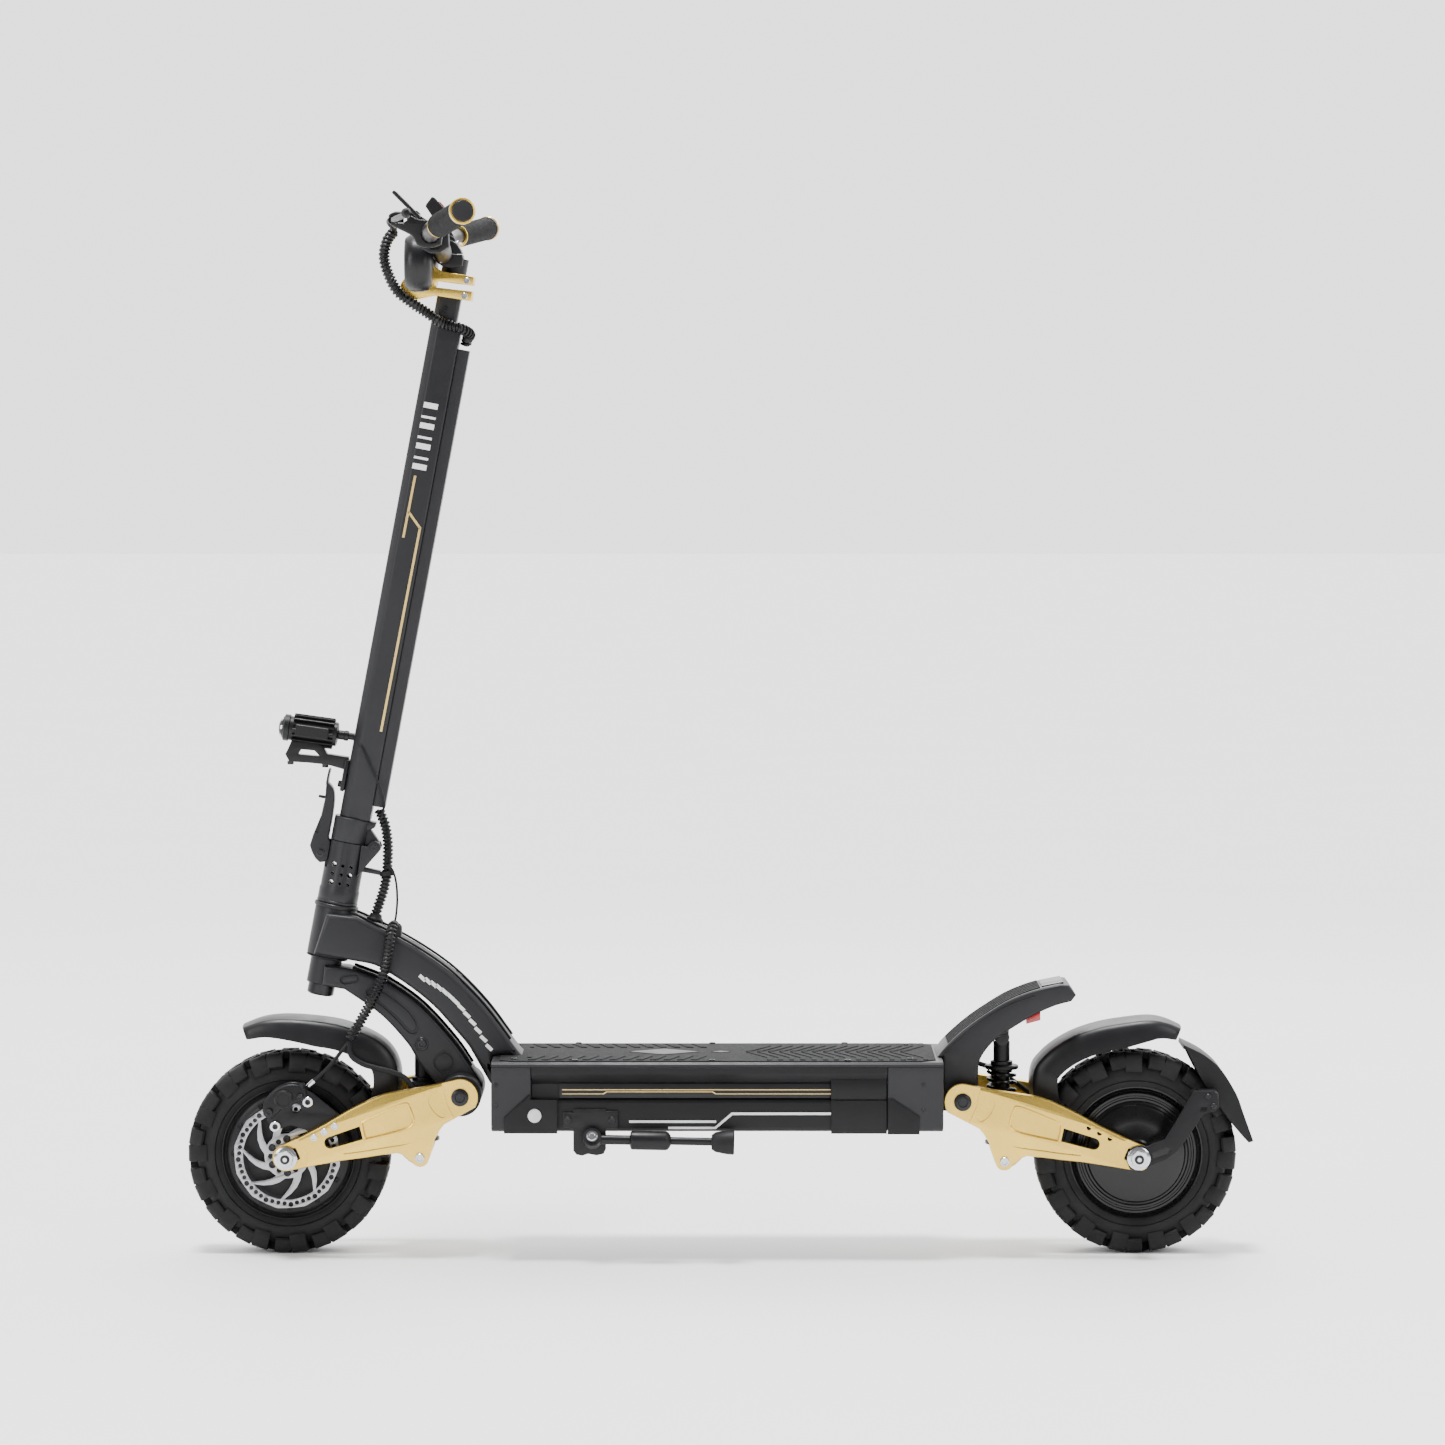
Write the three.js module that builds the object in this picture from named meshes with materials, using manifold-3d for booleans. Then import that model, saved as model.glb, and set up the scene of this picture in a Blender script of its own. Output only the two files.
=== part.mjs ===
// Folding electric kick scooter with two hub motors, swingarm suspension and a folding stem.
// Millimetres. +X is forward, +Y is the rider's left, +Z is up.
// The origin is on the ground, midway between the two ends of the scooter.
import * as THREE from 'three';
import { mergeVertices } from 'three/addons/utils/BufferGeometryUtils.js';
import Module from 'manifold-3d';

const wasm = await Module();
wasm.setup();

// ---- Driving dimensions ----------------------------------------------------
const GAP = 0.3;                      // air between pieces that touch
const TYRE_R = 127.5;                 // 10 x 3 off-road tyre
const TYRE_HALF = 37.5;
const TYRE_SIDES = 48;                // the tyre stands on a flat of this polygon
const RIM_R = 84;
const HUB_HALF = 44;
const ROTOR_R = 70;
const ROTOR_INNER = 56.5;             // the two faces of the brake rotor
const ROTOR_OUTER = 58.8;
const ARM_REACH = 232.1;              // swingarm pivot to axle
const ARM_INNER = 68;
const ARM_OUTER = 80;
const PIVOT_HALF = 64;                // half width of the sleeve between the swingarm sides
const FRONT_PIVOT = [330, 0, 204];
const REAR_PIVOT = [-302, 0, 198];
const SHOCK_EYE = [73, -55.6];        // lower shock bolt, along and above the arm from its pivot
const FRONT_SHOCK_TOP = 266;
const REAR_SHOCK_TOP = 272;

const DECK_FRONT = 290;
const DECK_REAR = -277;
const DECK_TOP = 251;
const DECK_BOTTOM = 163;
const DECK_HALF = 98;
const RAIL_HALF = 103;
const END_BLOCK_FRONT = 240;          // inner faces of the cast end blocks
const END_BLOCK_REAR = -207;
const LID_THICK = 6;
const WALL = 5;

const RAKE = 10.7 * Math.PI / 180;    // steering axis leans back from vertical
const HEAD = [489, 0, 442];           // top centre of the head tube
const HEAD_TUBE_R = 26;
const HEAD_TUBE_LENGTH = 68;
const STEERER_R = 14;
const CROWN_R = 20;
const CROWN_TOP = -70;                // heights along the steering axis from HEAD
const CROWN_BOTTOM = -104;
const BASE_R = 24.7;
const FOLD_SEAM = 80;
const FOLD_BACK = -34;                // fold hinge, behind the steering axis
const COLLAR_TOP = 111;
const LATCH_AHEAD = 31.7;              // pin of the latch lever
const LATCH_UP = 60.2;
const STEM_TOP = 748;
const CHANNEL_BOTTOM = 131;            // cable channel down the back of the stem
const CHANNEL_TOP = 718;
const POST_R = 16;
const POST_TOP = 785;
const SPIGOT_BOTTOM = 799;             // the bar clamp's spigot, above the open slot

const BAR_R = 11.1;
const BAR_CENTRE = [350, 0, 1262];
const GRIP_INNER = [346, 232, 1291];
const GRIP_OUTER = [311, 357, 1305];
const GRIP_R = 15;

// ---- Finishes --------------------------------------------------------------
const graphite = { color: 0x47474b, roughness: 0.45, metalness: 0.7 };
const blackMetal = { color: 0x1c1c1e, roughness: 0.4, metalness: 0.6 };
const blackPlastic = { color: 0x18181a, roughness: 0.6, metalness: 0.0 };
const rubber = { color: 0x151516, roughness: 0.85, metalness: 0.0 };
const gold = { color: 0xd9bd66, roughness: 0.35, metalness: 0.9 };
const steel = { color: 0xb5b8bc, roughness: 0.3, metalness: 1.0 };
const redLens = { color: 0xa01414, roughness: 0.2, metalness: 0.0 };
const cellWrap = { color: 0x2c5a8a, roughness: 0.6, metalness: 0.0 };

// ---- Helpers ---------------------------------------------------------------
const scooter = new THREE.Group();
const UP = new THREE.Vector3(0, 1, 0);

function part(name, geometry, finish, parent = scooter) {
  const mesh = new THREE.Mesh(geometry, new THREE.MeshStandardMaterial(finish));
  mesh.name = name;
  parent.add(mesh);
}

function toSolid(geometry) {
  const bare = geometry.clone();
  bare.deleteAttribute('normal');
  bare.deleteAttribute('uv');
  const merged = mergeVertices(bare, 1e-3);
  const vertProperties = new Float32Array(merged.attributes.position.array);
  const triVerts = new Uint32Array(merged.index.array);
  return new wasm.Manifold(new wasm.Mesh({ numProp: 3, vertProperties, triVerts }));
}

function toGeometry(solid) {
  const mesh = solid.getMesh();
  const geometry = new THREE.BufferGeometry();
  geometry.setAttribute('position', new THREE.BufferAttribute(mesh.vertProperties, 3));
  geometry.setIndex(new THREE.BufferAttribute(mesh.triVerts, 1));
  geometry.computeVertexNormals();
  return geometry;
}

function join(...geometries) {
  const solids = geometries.map(toSolid);
  return toGeometry(solids.reduce((whole, piece) => whole.add(piece)));
}

function cut(base, ...tools) {
  const solids = tools.map(toSolid);
  return toGeometry(solids.reduce((whole, tool) => whole.subtract(tool), toSolid(base)));
}

function outline(points) {
  return new THREE.Shape(points.map(([x, z]) => new THREE.Vector2(x, z)));
}

// A smooth curve through the points, added to the end of a shape.
function curveThrough(shape, points) {
  shape.splineThru(points.map(([x, z]) => new THREE.Vector2(x, z)));
}

// A side outline (x forward, z up) pulled across from y = low to y = high.
function slab(shape, low, high, bevel = 0, curveSegments = 4) {
  const geometry = new THREE.ExtrudeGeometry(shape, {
    depth: high - low - 2 * bevel,
    bevelEnabled: bevel > 0,
    bevelSize: bevel,
    bevelThickness: bevel,
    bevelOffset: -bevel,
    bevelSegments: 1,
    curveSegments,
  });
  geometry.rotateX(Math.PI / 2);
  return geometry.translate(0, high - bevel, 0);
}

// An end outline (y to the left, z up) pulled forward from x = back to x = front.
function bar(shape, back, front) {
  const geometry = new THREE.ExtrudeGeometry(shape, { depth: front - back, bevelEnabled: false });
  const turn = new THREE.Matrix4().makeBasis(
    new THREE.Vector3(0, 1, 0), new THREE.Vector3(0, 0, 1), new THREE.Vector3(1, 0, 0));
  geometry.applyMatrix4(turn);
  return geometry.translate(back, 0, 0);
}

function box(low, high) {
  const size = high.map((value, i) => value - low[i]);
  const geometry = new THREE.BoxGeometry(...size);
  return geometry.translate(...low.map((value, i) => value + size[i] / 2));
}

function aim(geometry, from, direction) {
  const turn = new THREE.Quaternion().setFromUnitVectors(UP, direction.clone().normalize());
  return geometry.applyQuaternion(turn).translate(...from);
}

// A round bar, or a cone when the tip radius differs.
function rod(from, to, radius, sides = 12, tip = radius) {
  const run = new THREE.Vector3(...to).sub(new THREE.Vector3(...from));
  const length = run.length();
  const geometry = new THREE.CylinderGeometry(tip, radius, length, sides).translate(0, length / 2, 0);
  return aim(geometry, from, run);
}

// A turned piece: the profile lists [radius, distance along the axis].
function turned(profile, from, direction, sides = 20, start = 0) {
  const points = profile.map(([radius, along]) => new THREE.Vector2(radius, along));
  const geometry = new THREE.LatheGeometry(points, sides, start);
  return aim(geometry, from, new THREE.Vector3(...direction));
}

function hose(points, radius, steps) {
  const route = new THREE.CatmullRomCurve3(points.map((point) => new THREE.Vector3(...point)));
  const section = new THREE.Shape().absarc(0, 0, radius, 0, 2 * Math.PI);
  return new THREE.ExtrudeGeometry(section, { steps, extrudePath: route, curveSegments: 4 });
}

const mirrorY = (points) => points.map(([x, y, z]) => [x, -y, z]);

// A group whose +Z runs up the steering axis and whose +X points ahead of it.
const steering = new THREE.Group();
steering.position.set(...HEAD);
steering.rotation.y = -RAKE;
scooter.add(steering);

const steeringToWorld = new THREE.Matrix4()
  .makeRotationY(-RAKE)
  .setPosition(...HEAD);

// ---- Deck ------------------------------------------------------------------
function deckTray() {
  const half = [
    [0, DECK_BOTTOM], [90, DECK_BOTTOM], [DECK_HALF, 169], [DECK_HALF, 200], [91, 203.5], [91, 224],
    [95, 226], [RAIL_HALF, 237], [RAIL_HALF, DECK_TOP - LID_THICK - GAP], [87, DECK_TOP - LID_THICK - GAP],
    [87, DECK_BOTTOM + WALL + 1], [0, DECK_BOTTOM + WALL + 1],
  ];
  const otherHalf = half.slice(1, -1).reverse().map(([y, z]) => [-y, z]);
  return bar(outline([...half, ...otherHalf]), END_BLOCK_REAR + GAP, END_BLOCK_FRONT - GAP);
}

function endBlock(back, front) {
  const top = DECK_TOP - LID_THICK - GAP;
  const section = outline([
    [-92, DECK_BOTTOM], [92, DECK_BOTTOM], [100, 171], [100, 232], [RAIL_HALF, 237], [RAIL_HALF, top],
    [-RAIL_HALF, top], [-RAIL_HALF, 237], [-100, 232], [-100, 171],
  ]);
  return bar(section, back, front);
}

part('deck_tray', deckTray(), graphite);
part('front_end_block', endBlock(END_BLOCK_FRONT, DECK_FRONT), graphite);
part('rear_end_block', endBlock(DECK_REAR, END_BLOCK_REAR), graphite);
part('deck_lid', bar(outline([
  [-RAIL_HALF, DECK_TOP - LID_THICK], [RAIL_HALF, DECK_TOP - LID_THICK], [RAIL_HALF, DECK_TOP - 2],
  [RAIL_HALF - 2, DECK_TOP], [2 - RAIL_HALF, DECK_TOP], [-RAIL_HALF, DECK_TOP - 2],
]), DECK_REAR, DECK_FRONT), blackMetal);
part('battery_pack', box([-110, -80, 172], [228, 80, 240]), cellWrap);
part('motor_controller', box([-198, -70, 172], [-124, 70, 214]), blackMetal);

// The space taken by the deck, kept free of the neck and the kick tail.
const deckRoom = () => box(
  [DECK_REAR - GAP, -150, 100], [DECK_FRONT + GAP, 150, DECK_TOP + GAP]);

// ---- Neck with the head tube -----------------------------------------------
function neck() {
  const shape = new THREE.Shape();
  shape.moveTo(500, 432);
  shape.lineTo(462, 428);
  curveThrough(shape, [[420, 406], [380, 383], [340, 354], [300, 313], [262, 262], [240, 232]]);
  shape.lineTo(280, 205);
  shape.lineTo(291.5, 207);
  curveThrough(shape, [[300, 230], [320, 262], [360, 309], [400, 342], [440, 366], [500, 377]]);
  shape.lineTo(517, 380);
  const arch = slab(shape, -34, 34, 7, 2);
  const head = rod([0, 0, -HEAD_TUBE_LENGTH], [0, 0, 0], HEAD_TUBE_R, 20).applyMatrix4(steeringToWorld);
  const bore = rod([0, 0, -90], [0, 0, 20], HEAD_TUBE_R - 4, 16).applyMatrix4(steeringToWorld);
  return cut(join(arch, head), bore, deckRoom());
}
part('neck', neck(), graphite);

// The bolt that a swingarm turns on, with a flat head outside each of its sides.
function pivotPin(x, z) {
  const pin = rod([x, -81, z], [x, 81, z], 8);
  const heads = [-1, 1].map((side) => rod([x, side * (ARM_OUTER + GAP), z], [x, side * 83, z], 10));
  return join(pin, ...heads);
}

// ---- Kick tail over the rear wheel -----------------------------------------
function rearArch() {
  const shape = new THREE.Shape();
  shape.moveTo(-266, 240);
  shape.lineTo(-269, 252);
  curveThrough(shape, [[-283, 269], [-302, 286.5], [-342, 314], [-381, 333.5], [-425, 345]]);
  shape.lineTo(-438, 344);
  shape.lineTo(-446, 331);
  shape.lineTo(-440, 322);
  curveThrough(shape, [[-420, 317], [-380, 297], [-345, 274], [-322, 248]]);
  shape.lineTo(-322, 183);
  shape.lineTo(-276, 183);
  const [x, , z] = REAR_PIVOT;
  const tail = slab(shape, -50, 50, 3, 2);
  const sleeve = rod([x, -PIVOT_HALF, z], [x, PIVOT_HALF, z], 17, 16);
  const ear = outline([[-346, 290], [-346, 268], [-354.5, 261], [-363, 268], [-363, 300]]);
  const shockBolt = rod([-354.5, -20, REAR_SHOCK_TOP], [-354.5, 20, REAR_SHOCK_TOP], 4.8, 12);
  const fittings = [sleeve, slab(ear, 12, 18), slab(ear, -18, -12), shockBolt, pivotPin(x, z)];
  const shockRoom = rod([-354.5, -11.7, REAR_SHOCK_TOP], [-354.5, 11.7, REAR_SHOCK_TOP], 11, 14);
  return cut(join(cut(tail, shockRoom), ...fittings), deckRoom());
}
part('rear_arch', rearArch(), graphite);
part('tail_light', slab(outline([[-402, 307.4], [-384, 298.4], [-384, 291], [-402, 296]]), -32, 32), redLens);

// ---- Kickstand -------------------------------------------------------------
const STAND_PIVOT = [163, 115, 157];
const STAND_LEAN = Math.PI / 6;
const standAxis = new THREE.Vector3(0, Math.cos(STAND_LEAN), Math.sin(STAND_LEAN));
const onStandAxis = (distance) =>
  standAxis.clone().multiplyScalar(distance).add(new THREE.Vector3(...STAND_PIVOT)).toArray();

function kickstandBracket() {
  const inner = DECK_HALF + 0.5;
  const plate = outline([
    [123, 190], [193, 190], [193, 172], [178, 164], [178, 140], [150, 137], [141, 150], [141, 166], [123, 166]]);
  const pin = rod(onStandAxis(-15), onStandAxis(7.5), 5, 12);
  const head = rod(onStandAxis(6.5), onStandAxis(9.5), 7, 12);
  return join(slab(plate, inner, inner + 4.5), pin, head);
}
part('kickstand_bracket', kickstandBracket(), graphite);

function kickstand() {
  const legY = STAND_PIVOT[1];
  const knuckle = rod(onStandAxis(-6), onStandAxis(6), 12, 16);
  const shank = rod([157, legY, 156.5], [108, legY, 153], 6, 8);
  const sleeve = rod([114, legY, 153], [65, legY, 152.5], 12, 12);
  const leg = rod([70, legY, 152.5], [8, legY, 152], 5, 8);
  const foot = rod([14, legY, 152], [-14, legY, 152.5], 9, 10, 15);
  const bore = rod(onStandAxis(-20), onStandAxis(20), 5.4, 12);
  return cut(join(knuckle, shank, sleeve, leg, foot), bore);
}
part('kickstand', kickstand(), blackMetal);

// ---- Steerer: tube, fork arm and stem base ---------------------------------
part('steerer_tube', turned([
  [0, -118], [15, -118], [17, -115], [17, CROWN_BOTTOM - GAP], [STEERER_R, CROWN_BOTTOM - GAP],
  [STEERER_R, 22], [0, 22],
], [0, 0, 0], [0, 0, 1], 16), steel, steering);

function forkArm() {
  const shape = new THREE.Shape();
  shape.moveTo(503, 366);
  shape.lineTo(475, 362);
  curveThrough(shape, [[440, 350], [400, 327], [360, 292], [325, 249], [304, 214]]);
  shape.lineTo(330, 186);
  shape.lineTo(362, 214);
  curveThrough(shape, [[383, 240], [400, 268], [440, 311], [478, 335]]);
  shape.lineTo(506, 340);
  const [x, , z] = FRONT_PIVOT;
  const arm = slab(shape, -30, 30, 4, 2);
  const crown = rod([0, 0, CROWN_BOTTOM], [0, 0, CROWN_TOP], CROWN_R, 18).applyMatrix4(steeringToWorld);
  const sleeve = rod([x, -PIVOT_HALF, z], [x, PIVOT_HALF, z], 26, 18);
  const eyeX = 380.4;
  const eyeSlot = box([eyeX - 24, -13, 150], [eyeX + 24, 13, FRONT_SHOCK_TOP + 12]);
  const springRoom = rod([eyeX, 0, 150], [eyeX, 0, 238], 24, 16);
  const steererBore = rod([0, 0, -130], [0, 0, -40], STEERER_R + 0.6, 16).applyMatrix4(steeringToWorld);
  const body = cut(join(arm, crown, sleeve), eyeSlot, springRoom, steererBore);
  const shockBolt = rod([eyeX, -20, FRONT_SHOCK_TOP], [eyeX, 20, FRONT_SHOCK_TOP], 4.8, 12);
  return join(body, shockBolt, pivotPin(x, z));
}
part('fork_arm', forkArm(), graphite);

function stemBase() {
  const tube = turned([
    [STEERER_R + 0.6, 0.4], [25.6, 0.4], [25.6, 19], [BASE_R, 20], [BASE_R, FOLD_SEAM - GAP],
    [STEERER_R + 0.6, FOLD_SEAM - GAP], [STEERER_R + 0.6, 0.4],
  ], [0, 0, 0], [0, 0, 1], 20);
  const earShape = outline([
    [-20, 42], [-26, 50], [-38, 72], [-42, 80], [-38, 87], [-30, 87], [-25.5, 79.7], [-18, 79.7]]);
  const ears = [slab(earShape, 10, 20), slab(earShape, -20, -10)];
  const lugShape = outline([[14, 54], [33, 54], [36.5, 60], [33, 67], [14, 70]]);
  const latchLug = slab(lugShape, -5, 5);
  const latchPin = rod([LATCH_AHEAD, -12, LATCH_UP], [LATCH_AHEAD, 12, LATCH_UP], 3.4, 12);
  const clipArm = box([-47.5, 0, 46], [-18, 12, 52]);
  const leverRoom = [box([15.5, 5.3, 44], [40, 14, 90]), box([15.5, -14, 44], [40, -5.3, 90])];
  const lugRoom = rod([FOLD_BACK, -10, FOLD_SEAM], [FOLD_BACK, 10, FOLD_SEAM], 14.6, 14);
  const trimmed = cut(tube, ...leverRoom, lugRoom);
  return join(trimmed, ...ears, latchLug, latchPin, clipArm);
}
part('stem_base', stemBase(), graphite, steering);

// The latch lever swings forward about its pin; two cheeks straddle the lug.
function latchLever() {
  const shape = outline([
    [40, 168], [29.4, 150], [23, 137], [24, 118], [25, 110], [25, 80], [20.5, 76], [20.5, 52], [30.5, 48],
    [37, 52], [47, 67], [45, 81], [39.5, 107], [38.5, 128], [40, 153]]);
  const lever = slab(shape, -12, 12);
  const lugRoom = box([0, -5.5, 40], [38.5, 5.5, 82]);
  const pinRoom = rod([LATCH_AHEAD, -20, LATCH_UP], [LATCH_AHEAD, 20, LATCH_UP], 3.8, 12);
  return cut(lever, lugRoom, pinRoom);
}
part('latch_lever', latchLever(), graphite, steering);

// ---- Stem ------------------------------------------------------------------
function foldCollar() {
  const ring = rod([0, 0, FOLD_SEAM + GAP], [0, 0, COLLAR_TOP], 24, 18);
  const tongue = slab(outline([
    [-10, 81], [-26, 79], [-28, 74], [-34, 72], [-40, 75], [-42, 81], [-38, 88], [-20, 106], [-10, 106],
  ]), -9.5, 9.5);
  const frontRoom = box([22, -30, 60], [40, 30, 130]);
  return cut(join(ring, tongue), frontRoom);
}
part('fold_collar', foldCollar(), graphite, steering);

function stemTube() {
  const shape = outline([
    [16.5, 10], [7, 20], [-23, 20], [-23, 17], [-38, 13], [-38, -13], [-23, -17], [-23, -20], [7, -20], [16.5, -10],
  ]);
  const hollow = outline([[11, 8], [4, 15], [-18, 15], [-18, -15], [4, -15], [11, -8]]);
  shape.holes.push(hollow);
  const bottom = COLLAR_TOP + GAP;
  const tube = new THREE.ExtrudeGeometry(shape, { depth: STEM_TOP - bottom, bevelEnabled: false })
    .translate(0, 0, bottom);
  const channelEnd = box([-60, -30, CHANNEL_TOP], [-23.1, 30, 800]);
  const channelStart = box([-60, -30, 100], [-23.1, 30, CHANNEL_BOTTOM]);
  const post = rod([0, 0, 690], [0, 0, POST_TOP], POST_R, 14);
  return join(cut(tube, channelEnd, channelStart), post);
}
part('stem_tube', stemTube(), graphite, steering);

// ---- Handlebar clamp, bar and grips ----------------------------------------
const onSteering = (ahead, side, up) =>
  new THREE.Vector3(ahead, side, up).applyMatrix4(steeringToWorld).toArray();

const [BAR_X, , BAR_Z] = BAR_CENTRE;
const barRoute = [
  [BAR_X, 0, BAR_Z], [BAR_X, 42, BAR_Z], [349.5, 92, 1267.5], [359, 140, 1279], [358, 176, 1284.5], [355, 200, 1287.4],
  GRIP_INNER, [328.5, 294.5, 1298], GRIP_OUTER];

function handlebar() {
  const rightHalf = mirrorY(barRoute.slice(1)).reverse();
  return hose([...rightHalf, ...barRoute], BAR_R, 26);
}
part('handlebar', handlebar(), blackMetal);

function barClamp() {
  const spigot = rod(onSteering(0, 0, SPIGOT_BOTTOM), onSteering(0, 0, 830), POST_R, 14);
  const block = outline([
    [326, 1245], [347, 1245], [357, 1252], [363, 1259], [366, 1272], [358, 1279], [340, 1279], [328, 1266]]);
  const bore = rod([BAR_X, -40, BAR_Z], [BAR_X, 40, BAR_Z], BAR_R + 0.9, 14);
  return cut(join(spigot, slab(block, -22, 22, 2)), bore);
}
part('bar_clamp', barClamp(), blackMetal);

const gripRun = new THREE.Vector3(...GRIP_OUTER).sub(new THREE.Vector3(...GRIP_INNER));
const gripLength = gripRun.length();
const gripProfile = [
  [BAR_R + 0.6, 0], [14, 0], [GRIP_R, 3], [GRIP_R, gripLength - 8], [16.4, gripLength - 6],
  [16.4, gripLength + 3], [0, gripLength + 3], [0, gripLength + GAP], [BAR_R + 0.6, gripLength + GAP],
  [BAR_R + 0.6, 0]];
const grip = (inner, run) => turned(gripProfile, inner, run.toArray(), 14);
part('grip_left', grip(GRIP_INNER, gripRun), rubber);
part('grip_right', grip(mirrorY([GRIP_INNER])[0], new THREE.Vector3(gripRun.x, -gripRun.y, gripRun.z)), rubber);


// ---- Brake perches and levers ----------------------------------------------
const PERCH = [150, 166];             // each perch, measured out from the middle
const LEVER_PIN = [400, 158];
const barRoom = (side) => hose(side > 0 ? barRoute : mirrorY(barRoute), BAR_R + 1.4, 8);

function brakePerch(side) {
  const shape = outline([
    [343, 1282], [348, 1295], [362, 1300], [378, 1302], [392, 1310], [408, 1310], [411, 1296], [398, 1289],
    [380, 1281], [374, 1268], [360, 1264], [348, 1268]]);
  const body = side > 0 ? slab(shape, ...PERCH) : slab(shape, -PERCH[1], -PERCH[0]);
  const [x, y] = LEVER_PIN;
  const leverRoom = box([x - 12, side * y - 30, 1296.4], [x + 20, side * y + 30, 1304.6]);
  const pin = rod([x, side * y, 1293], [x, side * y, 1308], 2.6, 10);
  return join(cut(body, barRoom(side), leverRoom), pin);
}

function brakeLever(side) {
  const [x, y] = LEVER_PIN;
  const knuckle = rod([x, side * y, 1297], [x, side * y, 1304], 8);
  const route = [[403, 162, 1300.5], [402, 180, 1300.5], [397, 212, 1301], [389, 250, 1302.5], [382, 286, 1304.5]];
  const blade = hose(side > 0 ? route : mirrorY(route), 4, 6);
  const tip = rod([382.5, side * 284, 1304.5], [380.5, side * 296, 1304.8], 6, 8);
  const bore = rod([x, side * y, 1290], [x, side * y, 1310], 3, 10);
  return cut(join(knuckle, blade, tip), bore);
}

for (const [name, side] of [['left', 1], ['right', -1]]) {
  part(`brake_perch_${name}`, brakePerch(side), blackMetal);
  part(`brake_lever_${name}`, brakeLever(side), blackMetal);
}

// ---- Display with the throttle trigger, on the right -----------------------
const TRIGGER_PIN = [388, -128];

function displayUnit() {
  const plate = slab(outline([[418, 1346], [384, 1313], [388, 1308.5], [422, 1341.5]]), -146, -80);
  const arm = slab(outline([
    [337, 1272], [342, 1288], [392, 1320], [404, 1325], [408, 1318], [392, 1296], [392, 1266], [372, 1262], [350, 1261],
  ]), -121, -104);
  const [x, y] = TRIGGER_PIN;
  const housing = box([371, -134, 1266], [396, -104, 1284]);
  const triggerRoom = box([x - 9, -150, 1270.6], [x + 20, -118, 1277.6]);
  const pin = rod([x, y, 1268], [x, y, 1282], 2.6, 10);
  return join(cut(join(plate, arm, housing), barRoom(-1), triggerRoom), pin);
}
part('display_unit', displayUnit(), blackPlastic);

function throttleTrigger() {
  const [x, y] = TRIGGER_PIN;
  const knuckle = rod([x, y, 1271], [x, y, 1277.2], 7);
  const paddle = hose([[391, -131, 1274], [396, -142, 1273], [395, -160, 1270.5], [389, -178, 1269.5]], 3, 4);
  const bore = rod([x, y, 1260], [x, y, 1290], 3, 10);
  return cut(join(knuckle, paddle), bore);
}
part('throttle_trigger', throttleTrigger(), blackPlastic);

// ---- Switch block with the horn button, on the left ------------------------
const BUTTON_CENTRE = [348.5, 118, 1320];
const BUTTON_OUT = new THREE.Vector3(-0.725, 0, 0.689);
const alongButton = (distance) =>
  BUTTON_OUT.clone().multiplyScalar(distance).add(new THREE.Vector3(...BUTTON_CENTRE)).toArray();

function switchBlock() {
  const body = slab(outline([
    [338, 1268], [340, 1292], [339, 1310], [358, 1330], [367, 1319], [358, 1304], [372, 1288], [376, 1268],
    [360, 1259], [350, 1261],
  ]), 104, 132);
  const pocket = rod(alongButton(-5), alongButton(10), 5.6, 14);
  return cut(body, barRoom(1), pocket);
}
part('switch_block', switchBlock(), blackPlastic);
part('horn_button', rod(alongButton(-2.5), alongButton(2.5), 5, 14), redLens);

// ---- Twin headlamps and their bracket --------------------------------------
const LAMP = [379, 62, 1250];
const lampProfile = [[0, -17], [28, -17], [36, -6], [36, 6], [28, 17], [0, 17]];
part('lamp_left', turned(lampProfile, LAMP, [1, 0, 0], 20), blackPlastic);
part('lamp_right', turned(lampProfile, mirrorY([LAMP])[0], [1, 0, 0], 20), blackPlastic);

// Two pinch jaws: the lower one holds the post, the upper one holds the bar clamp's spigot.
function lampBracket() {
  const shape = new THREE.Shape();
  shape.moveTo(312, 1233);
  curveThrough(shape, [[330, 1237], [345, 1239], [357, 1243], [366, 1252]]);
  shape.lineTo(386, 1240);
  curveThrough(shape, [[400, 1230], [405, 1222], [400, 1213], [385, 1205]]);
  shape.lineTo(362, 1210);
  shape.lineTo(316, 1203);
  shape.lineTo(314, 1215);
  shape.lineTo(357, 1220);
  shape.absarc(357, 1224, 4, -Math.PI / 2, Math.PI / 2, false);
  shape.lineTo(313, 1222.5);
  const plate = slab(shape, -25, 25, 0, 2);
  const bore = rod(onSteering(0, 0, 700), onSteering(0, 0, 840), POST_R + 0.6, 14);
  return cut(plate, bore);
}
part('lamp_bracket', lampBracket(), gold);

// ---- Spotlight in front of the stem ----------------------------------------
function lowerLight() {
  const body = turned([
    [0, 0], [6, 0], [6, 8], [20, 10], [20, 70], [14, 80], [0, 84.5],
  ], [478, 0, 655], [0.99, 0, 0.139], 16);
  const bracket = slab(outline([
    [473, 627], [500, 632], [512, 645], [545, 648], [552, 632], [548, 622], [500, 618], [478, 612]]), -10, 10);
  const clamp = box([16.8, -14, 142], [22, 14, 182]).applyMatrix4(steeringToWorld);
  return join(body, bracket, clamp);
}
part('lower_light', lowerLight(), blackMetal);

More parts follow.
